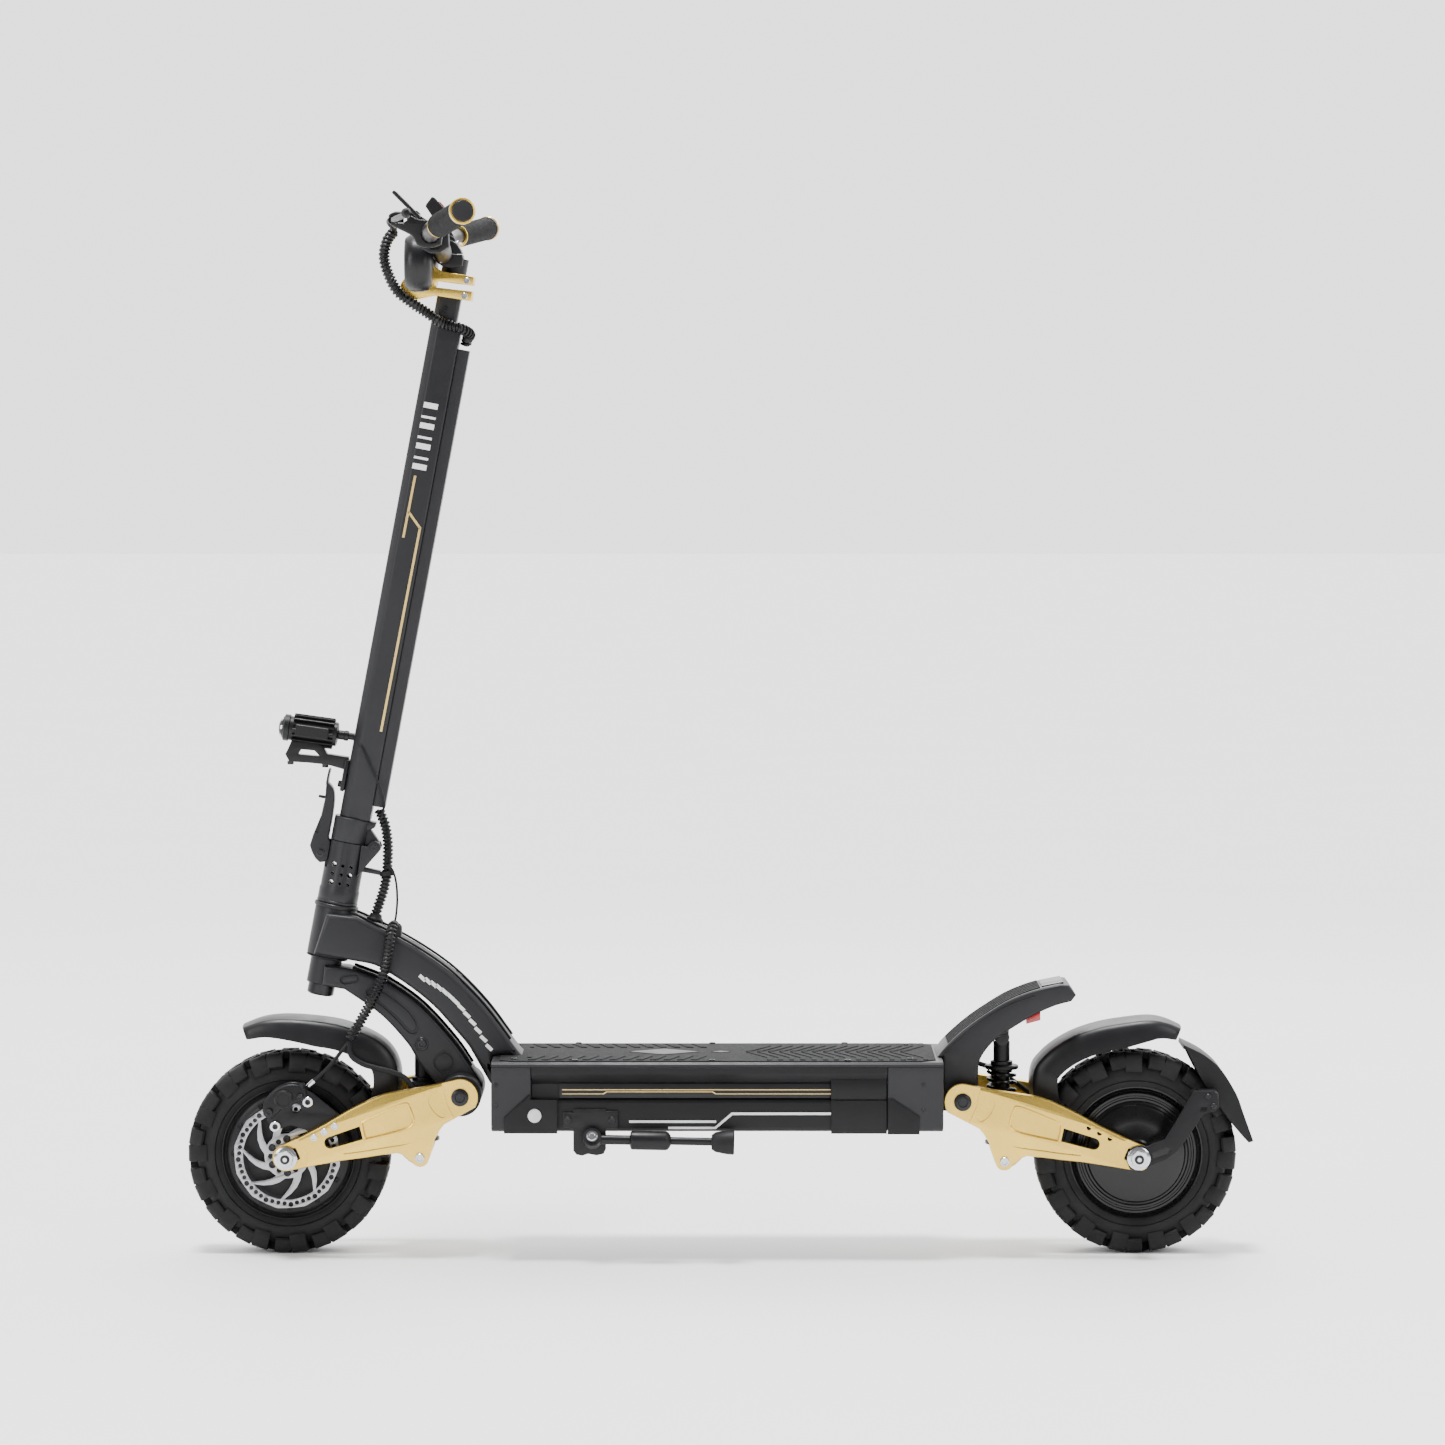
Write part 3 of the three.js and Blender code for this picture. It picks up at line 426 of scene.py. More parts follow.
tyre_rubber = Finish("tyre_rubber", "tyre_rubber", (0.009, 0.009, 0.010), 0.0, 0.62, specular=0.22).drift(
    45, 0.28, (1.05, 1.02, 0.98)).rough_spread(90, 0.1).grain(900, 0.3, 0.0002).material
soft_rubber = Finish("soft_rubber", "rubber", (0.006, 0.006, 0.007), 0.0, 0.55, specular=0.25).drift(
    40, 0.2).rough_spread(120, 0.08).grain(1600, 0.25, 0.00012).material
cable_wrap = Finish("cable_wrap", "rubber", (0.005, 0.005, 0.006), 0.0, 0.36, specular=0.3).drift(
    60, 0.2).rough_spread(90, 0.06).grain(900, 0.15, 0.0001).material
grip_rubber = Finish("grip_rubber", "rubber", (0.005, 0.005, 0.006), 0.0, 0.68, specular=0.2).drift(
    60, 0.2).rough_spread(150, 0.06).grain(1400, 0.4, 0.0002).material
mat_rubber = Finish("mat_rubber", "rubber", (0.008, 0.008, 0.009), 0.0, 0.8, specular=0.2).drift(
    80, 0.25).rough_spread(160, 0.06).cells(900, 0.6, 0.0006).material
white_paint = Finish("white_line", "graphite_metal", (0.78, 0.78, 0.77), 0.0, 0.4).drift(
    30, 0.04).rough_spread(60, 0.05).grain(900, 0.1, 0.0001).material
gold_foil = Finish("gold_line", "gold_anodised", (0.8, 0.58, 0.22), 0.9, 0.3).drift(
    30, 0.05).rough_spread(60, 0.05).material
satin_plastic = Finish("satin_plastic", "black_plastic", (0.006, 0.006, 0.007), 0.0, 0.38, specular=0.3).drift(
    20, 0.12).rough_spread(60, 0.04).grain(1300, 0.08, 0.0001).material
lens_smoke = Finish("smoky_lens", "black_plastic", (0.03, 0.03, 0.033), 0.0, 0.2, specular=0.35).drift(
    12, 0.3).rough_spread(30, 0.03).material
reflector = Finish("reflector", "black_plastic", (0.62, 0.62, 0.62), 0.1, 0.25, coat=0.5).drift(
    60, 0.1).cells(700, 0.5).material
red_lens = Finish("red_lens", "red_lens", (0.42, 0.008, 0.008), 0.0, 0.15, coat=0.7).drift(
    60, 0.2).cells(500, 0.35).material
lamp_glass = Finish("lamp_glass", "black_plastic", (0.72, 0.74, 0.76), 0.25, 0.1, coat=0.8).drift(
    60, 0.12).cells(500, 0.5).material
screen = Finish("screen_glass", "black_plastic", (0.01, 0.011, 0.013), 0.0, 0.07, coat=0.8).drift(
    10, 0.2).rough_spread(15, 0.02).material
cell_wrap = Finish("cell_wrap", "cell_wrap", (0.02, 0.07, 0.2), 0.0, 0.4).drift(
    20, 0.1).rough_spread(60, 0.05).grain(600, 0.15).material


# ---- Fasteners ------------------------------------------------------------------------------
def cap_screw(radius, height=None, socket=0.5):
    """A round head with a recessed hexagon socket, standing on z = 0."""
    height = height or radius * 0.55
    key = radius * socket
    bm = turned([(radius, 0), (radius, height * 0.75), (radius * 0.86, height), (key * 1.12, height)], steps=32)
    loop = [edge for edge in bm.edges if edge.is_boundary and edge.verts[0].co.z > height * 0.9]
    bmesh.ops.contextual_create(bm, geom=loop)
    lid = max(bm.faces, key=lambda face: len(face.verts))
    bmesh.ops.inset_individual(bm, faces=[lid], thickness=key * 0.12, depth=0.0)
    bmesh.ops.translate(bm, verts=lid.verts, vec=(0, 0, -height * 0.55))
    bm.normal_update()
    return bm


def flange_nut(radius, height):
    """A flange, a hexagon and the stud end inside it."""
    flange = turned([(0, 0), (radius, 0), (radius, height * 0.12), (radius * 0.8, height * 0.26),
                     (radius * 0.7, height * 0.26)], steps=40)
    hexagon = turned([(0, height * 0.2), (radius * 0.78, height * 0.2), (radius * 0.78, height * 0.9),
                      (radius * 0.7, height), (radius * 0.42, height), (radius * 0.42, height * 0.8),
                      (0, height * 0.8)], steps=6)
    stud = turned([(0, height * 0.5), (radius * 0.38, height * 0.5), (radius * 0.38, height * 1.1),
                   (radius * 0.3, height * 1.18), (0, height * 1.18)], steps=24)
    return gather(flange, hexagon, stud)


# ---- Tyres ----------------------------------------------------------------------------------
def around(count, first=0.0):
    return [Matrix.Rotation(first + 2 * math.pi * k / count, 4, "Y") for k in range(count)]


LUGS_AROUND = 15


def tyre(place):
    half = [(80, 27), (82.5, 31.5), (86, 34.6), (91.5, 36), (92.4, 35.0), (93.6, 36.4), (98, 36.7),
            (102, 35.4), (108, 32.6), (113, 29), (116.4, 23), (117.6, 12), (118, 0)]
    carcass = turned(half + [(r, -y) for r, y in reversed(half[:-1])] + [half[0]], ACROSS, steps=96)

    def lug(outline, length, yaw, bevel=1.0):
        bm = slab(outline, -length / 2, length / 2, bevel, rounds=1)
        bm.transform(Matrix.Rotation(math.radians(90 + yaw), 4, "Z"))
        return bm
    shoulder = [(17, 114), (17, 127.2), (29, 126.9), (34, 124.3), (37.2, 118), (37.5, 105.5), (35.8, 103), (30, 108)]
    short = [(19.5, 114), (19.5, 127.2), (29, 126.9), (33.6, 124.6), (36.6, 118.6), (37.3, 111), (35, 108.5), (29,
            111)]
    centre = [(2.2, 118), (2.2, 127.4), (14.6, 127.2), (14.6, 118)]
    rows = []
    for side in (1, -1):
        shift = 0.0 if side > 0 else math.pi / LUGS_AROUND / 2
        for outline, length, yaw, first in ((shoulder, 21.0, 4, 0.0), (short, 20.4, -4, 0.5), (centre, 21, 16, 0.25),
                                            (centre, 21, 16, 0.75)):
            bm = lug(outline, length, yaw)
            if side < 0:
                bm.transform(mirror_y)
                bmesh.ops.reverse_faces(bm, faces=bm.faces)
            rows.append(repeated(bm, around(LUGS_AROUND, first * 2 * math.pi / LUGS_AROUND + shift)))
    return gather(carcass, *rows, place=place)


# ---- Hub motors, brake rotors and axle nuts ---------------------------------------------------
def hub(place):
    profile = [(9, -43), (17, -43.4), (19, -42), (21, -41.4), (40, -41), (56, -39.6), (61, -37.6), (63, -34.4),
               (65.5, -33.4), (67, -34.6), (69.5, -34.6), (70.5, -33), (72.5, -33), (73.4, -34.6), (76, -34.6),
               (77, -32), (79, -29.6), (81.4, -30.6), (83, -33), (84.4, -33.2), (84.8, -31.6), (83.2, -29),
               (79, -22), (79, 22), (83.2, 29), (84.8, 31.6), (84.4, 33.2), (83, 33), (81.4, 30.6), (79, 29.6),
               (77, 31.6), (74, 33.6), (70, 34), (66.5, 35.4), (62, 39.6), (58, 41.4), (52, 42), (30, 42),
               (28.4, 43.4), (27.4, 46), (27, 56), (9, 56), (9, -43)]
    body = turned(profile, ACROSS, steps=96)
    screws = repeated(gather(cap_screw(3.4, 2.4), place=at(0, 0, 70) @ at(0, 34.4, 0) @ ACROSS), around(12, 0.2))
    return gather(body, screws, place=place)


def rotor(place):
    def spot(radius, degrees):
        t = math.radians(degrees)
        return radius * math.cos(t), radius * math.sin(t)
    rim = []
    for k in range(180):
        bend = math.radians((2 * k) % 30 - 15)
        rim.append(spot(0.35 * 67.2 + 0.65 * 65.6 / math.cos(bend), 2 * k))
    holes = [ring(0, 0, 12.5, 32)]
    for k in range(8):
        a = 45 * k + 10
        sweep = [spot(28.8, a - 8), spot(28.6, a + 3), spot(28.8, a + 14)]
        sweep += [spot(28.8 + 26 * t / 4, a + 14 + 45 * (t / 4) ** 0.95) for t in (1, 2, 3)]
        sweep += [spot(55.6, a + 59 - 41 * t / 9) for t in range(10)]
        sweep += [spot(55.6 - 26.6 * t / 4, a + 18 - 26 * (t / 4) ** 1.2) for t in (1, 2, 3)]
        holes.append(sweep)
    for k in range(6):
        holes.append(ring(*spot(20.6, 60 * k + 18), 3.4, 14))
    for k in range(48):
        holes.append(ring(*spot(60.4 if k % 4 else 61.8, 7.5 * k + 15), 2.7 if k % 4 else 3.2, 12))
    return gather(slab(rim, 56.6, 58.7, 0.25, holes, rounds=1), place=place)


def rotor_screws(place):
    spots = []
    for k in range(6):
        t = math.radians(60 * k + 48)
        spots.append(at(21.6 * math.cos(t), 58.6, 21.6 * math.sin(t)) @ ACROSS)
    return gather(repeated(cap_screw(4.6, 3.2), spots), place=place)


def axle(place):
    shaft = turned([(0, -84.5), (8, -84.5), (8, 84.5), (0, 84.5)], ACROSS, steps=32)
    return gather(shaft, place=place)


def axle_nuts(place):
    left = gather(flange_nut(14.6, 11), place=at(0, 83.8, 0) @ ACROSS)
    right = gather(flange_nut(14.6, 11), place=at(0, -83.8, 0) @ Matrix.Rotation(math.radians(90), 4, "X"))
    return gather(left, right, place=place)


def axle_tips(place):
    tip = [(0, 0), (6, 0), (6, 3.4), (5.2, 4.2), (2.6, 4.2), (2.6, 3), (0, 3)]
    left = turned(tip, at(0, 92.6, 0) @ ACROSS, steps=24)
    right = turned(tip, at(0, -92.6, 0) @ Matrix.Rotation(math.radians(90), 4, "X"), steps=24)
    return gather(left, right, place=place)


# ---- Swingarms ------------------------------------------------------------------------------
ARM_EDGE = (arc(0, 0, 23, 232, 92, 18) + [(12, 24.4), (23, 25.4), (45, 29), (63, 31.7), (80, 34.6), (90, 35.6),
            (104, 35.5), (120, 33.6), (137, 31.3), (155, 27.8), (172, 24.3), (205, 19.4), (226, 17.4)]
            + arc(REACH, 0, 17, 96, -92, 18)
            + [(200.6, -21.7), (168.4, -26.7), (138.7, -32.8), (112, -37.5), (98, -40.6), (91, -46)]
            + arc(73, -55.6, 11.5, -6, -158, 12) + [(54, -50), (48, -40), (38, -31), (30, -25.8), (12, -22.8)])
ARM_SLOT = [(131, 7.4), (132.6, -9.6), (173, -7.4)] + arc(173, 0, 7.4, -80, 90, 8)
ARM_POCKET = ([(68, 16), (64, 9), (64, -6), (68, -12.5), (80, -15.5), (126, -11.6)]
              + [(130, -9), (128, 8), (124, 11.6), (100, 14.4)])
ARM_HOLES = ((190.3, 12.6), (175.6, 15.2), (161, 17.6))


def arm_side(place, side):
    """One gold plate: sloping shoulders, a rimmed pocket and slot, a thin lower rib, and lower faces at both eyes."""
    plate = slab(ARM_EDGE, 68, 80, 3.4, rounds=1)
    crescent = [(24, 20.5), (31, 21.5), (37, 14), (39.5, 5), (37, -7), (31, -16), (26, -17), (22, -10), (21, 1), (22,
            12)]
    plate = carved(plate, slab(smooth_line([(x, z, 0) for x, z in ARM_POCKET], 3, closed=True), 77.2, 90),
                   turned([(0, 78.2), (27, 78.2), (29, 90), (0, 90)], AXLE @ ACROSS, steps=48),
                   slab([(-40, -40), (14, -40), (18.6, 0), (14, 40), (-40, 40)], 78.0, 90))
    tools = [slab(smooth_line([(x, z, 0) for x, z in crescent], 3, closed=True), 77.4, 90),
             slab(ARM_SLOT, 60, 90), slab(long_hole(217.5, -5, 218.5, 6, 2.6), 60, 90),
             turned([(0, -90), (8.6, -90), (8.6, 90), (0, 90)], ACROSS, steps=40),
             turned([(0, -90), (8.6, -90), (8.6, 90), (0, 90)], AXLE @ ACROSS, steps=32)]
    tools += [turned([(0, 60), (3.2, 60), (3.2, 90), (0, 90)], at(x, 0, z) @ ACROSS, steps=16) for x, z in ARM_HOLES]
    plate = carved(plate, *tools)
    rim = smooth_line([(x, 79.5, z) for x, z in ARM_POCKET], 4, closed=True)
    rib = [(58, 77.2, -29.5), (74, 77.8, -33), (86, 78.2, -33.4), (112, 78.4, -29), (138, 78.4, -24.6), (162, 78.4,
            -19.6)]
    ledge = [(52, 78.4, 24), (80, 78.8, 27.6), (104, 78.8, 27.8), (137, 78.8, 23.6), (172, 78.6, 17.4), (196, 78.4,
            13)]
    whole = gather(plate, hose(rim + rim[:1], 1.8, 2, smooth=False), hose(rib, 2.2, 2, 6), hose(ledge, 1.2, 2, 6))
    return gather(whole if side > 0 else mirrored(whole), place=place)


def arm_bridge(place, slope):
    outline = [(40, -14), (36, -27), (50, -41), (60, -58), (66, -65), (73, -66.6), (80, -65), (88, -57), (95, -44),
               (105, -36.5), (104, -24), (97, -14)]
    body = slab(outline, -68.2, 68.2, 2.0)
    lean = Matrix.Translation((73, 0, -55.6)) @ Matrix.Rotation(-slope, 4, "Y")
    spring_room = turned([(0, 8.4), (25, 8.4), (25, 120), (0, 120)], lean, steps=48)
    eye_room = block((56, -13, -76), (90, 13, -24))
    bolt = turned([(0, -20), (4.3, -20), (4.3, 20), (0, 20)], at(73, 0, -55.6) @ ACROSS, steps=24)
    return gather(carved(body, spring_room, eye_room), bolt, place=place)


# ---- Brake calipers ---------------------------------------------------------------------------
def caliper_body(place):
    outline = smooth_line([(184, 60, 0), (181, 70, 0), (186, 80, 0), (198, 86, 0), (214, 86, 0), (229, 80, 0), (239,
            70, 0),
                           (241, 59, 0), (235, 52, 0), (224, 56, 0), (212, 60, 0), (197, 60, 0)], 4, closed=True)
    outer = slab(outline, 61, 75, 3.0, rounds=3)
    inner = slab(outline, 46, 54, 2.0)
    bridge = slab([(198, 76), (200, 86), (228, 81), (224, 75)], 50, 66, 0.5)
    cylinder = turned([(0, 0), (12, 0), (12, 3), (10.4, 4.2), (8.6, 4.2), (8.2, 3.2), (0, 3.2)],
                      at(211, 74, 70) @ ACROSS, steps=40)
    banjo = turned([(0, 0), (4.4, 0), (4.4, 7), (0, 7)], facing((186, 70, 76), (-0.4, 0, 0.9)), steps=24)
    return gather(outer, inner, bridge, cylinder, banjo, place=place)


def caliper_adapter(place):
    outline = [(240, 52), (236, 62), (205, 84), (196, 84), (175, 66), (150, 26), (150, 18), (163, 5), (172, 2), (186,
            6),
               (198, 24), (214, 36), (236, 36)]
    holes = [ring(200, 54, 6, 20)]
    return gather(slab(outline, 61.6, 67.6, 0.8, holes), place=place)


def caliper_screws(place):
    spots = [at(183.6, 67.6, 56.7) @ ACROSS, at(232.5, 67.6, 41) @ ACROSS, at(190, 74.6, 66) @ ACROSS,
             at(233, 74.6, 61) @ ACROSS]
    sleeve = [(3.6, 0), (6.6, 0), (6.6, 3.6), (6.0, 4.2), (3.6, 4.2)]
    silver = gather(*(turned(sleeve, spot, steps=28) for spot in spots[:2]), place=place)
    heads = gather(*(gather(cap_screw(3.5, 3.6), place=spot) for spot in spots[:2]),
                   *(gather(cap_screw(4.4, 4), place=spot) for spot in spots[2:]), place=place)
    return silver, heads


# ---- Both ends of the running gear ----------------------------------------------------------
for end, pivot_z in (("front", 204), ("rear", 198)):
    slope = math.asin((pivot_z - TYRE_R) / REACH)
    arm = ARM[end]
    wheel = arm @ AXLE
    swing, spinning = f"{end}_swingarm", f"{end}_wheel"
    place_piece(f"{end}_tyre_shell", tyre(wheel), tyre_rubber, spinning, f"{end}_tyre")
    place_piece(f"{end}_hub_motor", hub(wheel), gloss_plastic if end == "rear" else black_metal, spinning,
                f"{end}_motor")
    place_piece(f"{end}_brake_disc", rotor(wheel), steel, spinning, f"{end}_rotor", angle=25)
    place_piece(f"{end}_disc_screws", rotor_screws(wheel), dark_steel, spinning)
    place_piece(f"{end}_axle_shaft", axle(wheel), steel, swing, f"{end}_axle")
    place_piece(f"{end}_axle_nuts", axle_nuts(wheel), chrome, swing)
    place_piece(f"{end}_axle_tips", axle_tips(wheel), dark_steel, swing)
    place_piece(f"{end}_arm_left", arm_side(arm, 1), gold, swing, f"{end}_swingarm")
    place_piece(f"{end}_arm_right", arm_side(arm, -1), gold, swing)
    place_piece(f"{end}_arm_bridge", arm_bridge(arm, slope), gold, swing)
    place_piece(f"{end}_caliper_body", caliper_body(arm @ at(0, -3, 0)), black_metal, swing, f"{end}_caliper")
    place_piece(f"{end}_caliper_plate", caliper_adapter(arm), black_metal, swing)
    silver, heads = caliper_screws(arm)
    place_piece(f"{end}_caliper_sleeves", silver, chrome, swing)
    place_piece(f"{end}_caliper_screws", heads, dark_steel, swing)
    turn_right = Matrix.Rotation(math.radians(90), 4, "X")
    eye_spots = [at(73, 79.8, -55.6) @ ACROSS, at(73, -79.8, -55.6) @ turn_right]
    place_piece(f"{end}_shock_bolt_heads", gather(repeated(cap_screw(6.2, 3.4), eye_spots), place=arm), chrome, swing)
    if end == "front":
        spots = [at(x, 78.6, z) @ ACROSS for x, z in ARM_HOLES]
        place_piece("front_torque_screws", gather(repeated(cap_screw(4.6, 2.4), spots), place=arm), chrome, swing)


# ---- Shock absorbers ------------------------------------------------------------------------
def shock(end, top, bottom, perch):
    run = Vector(bottom) - Vector(top)
    length = run.length
    down = facing(top, run)
    up = facing(bottom, -run)
    eye = [(5.4, -11), (8.6, -11), (9.5, -10), (9.5, 10), (8.6, 11), (5.4, 11), (5.4, -11)]
    body = turned([(0, 6), (10.5, 6), (10.5, perch - 6), (14, perch - 5), (14, perch - 1), (20.4, perch),
                   (21, perch + 0.8), (21, perch + 4.2), (20.4, perch + 5), (13.6, perch + 5.2), (13.6, perch + 9),
                   (10.5, perch + 9.6), (10.5, 83), (9.6, 84), (6.4, 84), (6.4, 56), (0, 56)], down, steps=48)
    collar = [(20.2, 0), (21.4, 0.5), (21.4, 3.3), (20.2, 3.8), (20.2, 0)]
    notched = turned(collar, down @ at(0, 0, perch + 0.6), steps=48)
    place_piece(f"{end}_shock_cylinder", gather(body, notched, turned(eye, at(*top) @ ACROSS, steps=40)), black_metal,
                f"{end}_shock_upper", f"{end}_shock_body")
    lower = turned([(0, 6), (8, 6), (8, 12), (20.4, 12.6), (21, 13.4), (21, 16.4), (20.4, 17), (13, 17.4), (13, 20),
                    (5.4, 21), (5.4, length - 67), (4.8, length - 66), (0, length - 66)], up, steps=48)
    place_piece(f"{end}_shock_shaft", gather(lower, turned(eye, at(*bottom) @ ACROSS, steps=40)), dark_steel,
                f"{end}_shock_lower", f"{end}_shock_rod")
    low, high = perch + 6.3, length - 18.3
    start, finish = low + 2.3, high - 2.3
    along = run.normalized()
    turns = round((finish - start) / 9.4)
    steps = turns * 20
    route = []
    for k in range(steps + 1):
        share = k / steps
        angle = 2 * math.pi * turns * share
        route.append(Vector(top) + along * (start + (finish - start) * share)
                     + Vector((16.8 * math.cos(angle), 16.8 * math.sin(angle), 0)))
    spring = place_piece(f"{end}_coil_spring", hose(route, 2.4, 2, smooth=False), gloss_plastic, f"{end}_shock_upper",
                         f"{end}_shock_spring")
    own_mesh(spring)


shock("front", (380.4, 0, 266), (380.61, 0, 127.45), 50)
shock("rear", (-354.5, 0, 272), (-354.66, 0, 122.86), 36)


# ---- Deck -----------------------------------------------------------------------------------
def end_outline(section, back, front, bevel=0.0, rounds=2):
    """An end outline (y, z) pulled forward from x = back to x = front."""
    bm = slab(section, back, front, bevel, rounds=rounds)
    bm.transform(Matrix.Rotation(math.radians(-90), 4, "Z") @ Matrix.Diagonal((-1, 1, 1, 1)))
    bmesh.ops.recalc_face_normals(bm, faces=bm.faces)
    return bm


tray_half = [(0, 163), (90, 163), (96, 166), (98, 169), (98, 200), (96, 203), (91, 204.5), (91, 223), (95, 226),
             (103, 237), (103, 244.6), (87, 244.6), (87, 169), (0, 169)]
tray = tray_half + [(-y, z) for y, z in reversed(tray_half[1:-1])]
place_piece("deck_shell", end_outline(tray, -206.7, 239.7), deck_side, "frame", "deck_tray", bevel=0.6)
block_section = [(-92, 163), (92, 163), (98, 167), (100.6, 172), (100.6, 231), (103, 236), (103, 244.6), (-103,
        244.6),
                 (-103, 236), (-100.6, 231), (-100.6, 172), (-98, 167)]
place_piece("front_block", end_outline(block_section, 240, 290, 1.6), graphite, "frame", "front_end_block")
place_piece("rear_block", end_outline(block_section, -277, -207, 1.6), graphite, "frame", "rear_end_block")
lid = [(-102.8, 245), (102.8, 245), (102.8, 248.4), (100, 251), (-100, 251), (-102.8, 248.4)]
place_piece("deck_plate", end_outline(lid, -277, 290, 0.8), graphite, "frame", "deck_lid")

panels, markers, rims, lenses, foils, lines, screws = [], [], [], [], [], [], []
for side in LEFT_RIGHT:
    turn = (lambda bm: bm) if side > 0 else mirrored
    panels.append(turn(slab([(274, 161.6), (274, 181), (241, 211), (241, 204), (207, 204), (207, 161.6)],
                            100.2, 102.6, 0.7)))
    panels.append(turn(slab([(-207, 160.4), (-207, 205), (-213, 205), (-247, 183), (-247, 160.4)], 100.2, 102.4,
                            0.7)))
    panels.append(turn(slab([(-136, 161), (-136, 203), (-206, 203), (-206, 161)], 97.8, 100, 0.7)))
    panels.append(turn(block((-206, 91, 203.4), (-136, 98, 230), 1.0)))
    rims.append(turn(turned([(8.6, 0), (10, 0), (10, 1.2), (9.2, 1.9), (8.6, 1.2), (8.6, 0)],
                            at(235.5, 102.2, 184) @ ACROSS, steps=40)))
    markers.append(turn(turned([(0, 0), (8.5, 0), (8.5, 1.2), (7, 1.6), (0, 1.6)], at(235.5, 102.2, 184) @ ACROSS,
                               steps=40)))
    lenses.append(turn(block((-147, 91.2, 205.2), (205, 94.6, 224), 1.2)))
    foils.append(turn(block((-143, 94.3, 215.4), (201, 94.9, 216.5), 0.2)))
    foils.append(turn(slab([(201, 211), (150, 211), (146, 213.6), (12, 213.6), (8, 211), (-143, 211), (-143, 210.3),
                            (9, 210.3),
                            (13, 212.9), (145, 212.9), (149, 210.3), (201, 210.3)], 94.3, 94.9)))
    lines.append(turn(block((8, 98.1, 174.6), (117, 98.6, 177.6), 0.2)))
    lines.append(turn(slab([(68, 166.8), (68, 169.6), (9.6, 169.6), (-11.4, 187.6), (-144, 187.6), (-144, 184.6),
                            (-12.6, 184.6), (8.4, 166.8)], 98.1, 98.6)))
    for x, z in ((284, 238), (246, 238), (284, 222), (284, 196), (-252, 222), (-252, 190), (-270, 239), (-214, 239)):
        screws.append(turn(gather(cap_screw(2.4, 1.2), place=at(x, 100.4, z) @ ACROSS)))
place_piece("deck_corner_panels", gather(*panels), deck_side, "frame")
place_piece("deck_marker_rims", gather(*rims), black_metal, "frame")
place_piece("deck_round_markers", gather(*markers), reflector, "frame")
place_piece("deck_light_strips", gather(*lenses), satin_plastic, "frame")
place_piece("deck_strip_gold_lines", gather(*foils), gold_foil, "frame")
place_piece("deck_white_lines", gather(*lines), white_paint, "frame")
place_piece("deck_side_screws", gather(*screws), dark_steel, "frame")

# The rubber mat: rows of raised chevrons towards the back, bars and a plain diamond towards the front.
mat_edge = [(280, -84), (280, 84), (262, 96), (-250, 96), (-268, 80), (-268, -80), (-250, -96), (262, -96)]


def lying(outline, low, high, bevel=0.3):
    """A plan outline (x, y) raised from z = low to z = high."""
    bm = slab(outline, -high, -low, bevel)
    bm.transform(Matrix.Rotation(math.radians(-90), 4, "X"))
    bmesh.ops.recalc_face_normals(bm, faces=bm.faces)
    return bm


ribs = [lying(mat_edge, 250.9, 252.2, 0.5)]
for k in range(16):
    x = -30 - 14 * k
    if x < -244:
        break
    for side in LEFT_RIGHT:
        arm_points = [(x, 3), (x - 26, 62), (x - 26, 88), (x - 32, 88), (x - 32, 61), (x - 6, 3)]
        if x - 32 > -262:
            ribs.append(lying([(a, b * side) for a, b in arm_points], 252, 253.2))
for k in range(14):
    x = 20 + 17 * k
    for side in LEFT_RIGHT:
        ribs.append(lying([(x, 46 * side), (x + 8, 46 * side), (x + 20, 86 * side), (x + 12, 86 * side)], 252, 253.2)
                    if x < 236 else lying([(x, 46 * side), (x + 5, 46 * side), (x + 5, 60 * side), (x, 60 * side)],
                                          252, 253.2))
place_piece("deck_mat", gather(*ribs), mat_rubber, "frame")
place_piece("deck_diamond", gather(lying([(118, 0), (74, 30), (30, 0), (74, -30)], 252, 252.9),
                                   lying([(14, 0), (2, 8), (-10, 0), (2, -8)], 252, 252.9)), graphite, "frame")
bolts = [at(x, y, 252) for x in (262, 185, 13, -157, -236) for y in (-76 if abs(x) > 230 else -91,
                                                                     76 if abs(x) > 230 else 91)]
place_piece("deck_mat_screws", repeated(cap_screw(4, 1.8), bolts), dark_steel, "frame")
seam = [block((-207.6, -96, 165), (-206.2, 96, 165.6)), block((239.2, -96, 165), (240.6, 96, 165.6))]
place_piece("deck_belly_plate", gather(*seam, block((-180, -70, 161.9), (210, 70, 163.4), 0.6)), deck_side, "frame")

# ---- Neck with the head tube ----------------------------------------------------------------
neck_top = smooth_line([(462, 428, 0), (440, 417, 0), (420, 406, 0), (400, 395, 0), (380, 383, 0), (340, 354, 0),
                        (300, 313, 0), (262, 262, 0), (253, 251.6, 0)], 4)
neck_low = smooth_line([(290.6, 251.6, 0), (301, 232, 0), (320, 262, 0), (340, 286, 0), (360, 309, 0), (380, 327, 0),
                        (400, 342, 0), (420, 355, 0), (440, 366, 0), (470, 372, 0), (500, 377, 0)], 4)
neck_edge = [(500, 432), *[(p.x, p.y) for p in neck_top], (262, 251.6), (290.4, 251.6), (290.4, 215), (294, 216)]
neck_edge += [(p.x, p.y) for p in neck_low[8:]] + [(517, 380)]
neck_shell = slab(neck_edge, -34, 34, 7, rounds=4)
bore = turned([(0, -90), (22, -90), (22, 20), (0, 20)], STEER, steps=48)
head = turned([(22, -68), (25, -68), (26.2, -66.6), (26.2, -40), (26.2, -1.6), (25, 0), (22, 0), (22, -68)], STEER,
              steps=64)
place_piece("neck_casting", gather(carved(neck_shell, bore), head), graphite, "frame", "neck", angle=40)
side_rails = []
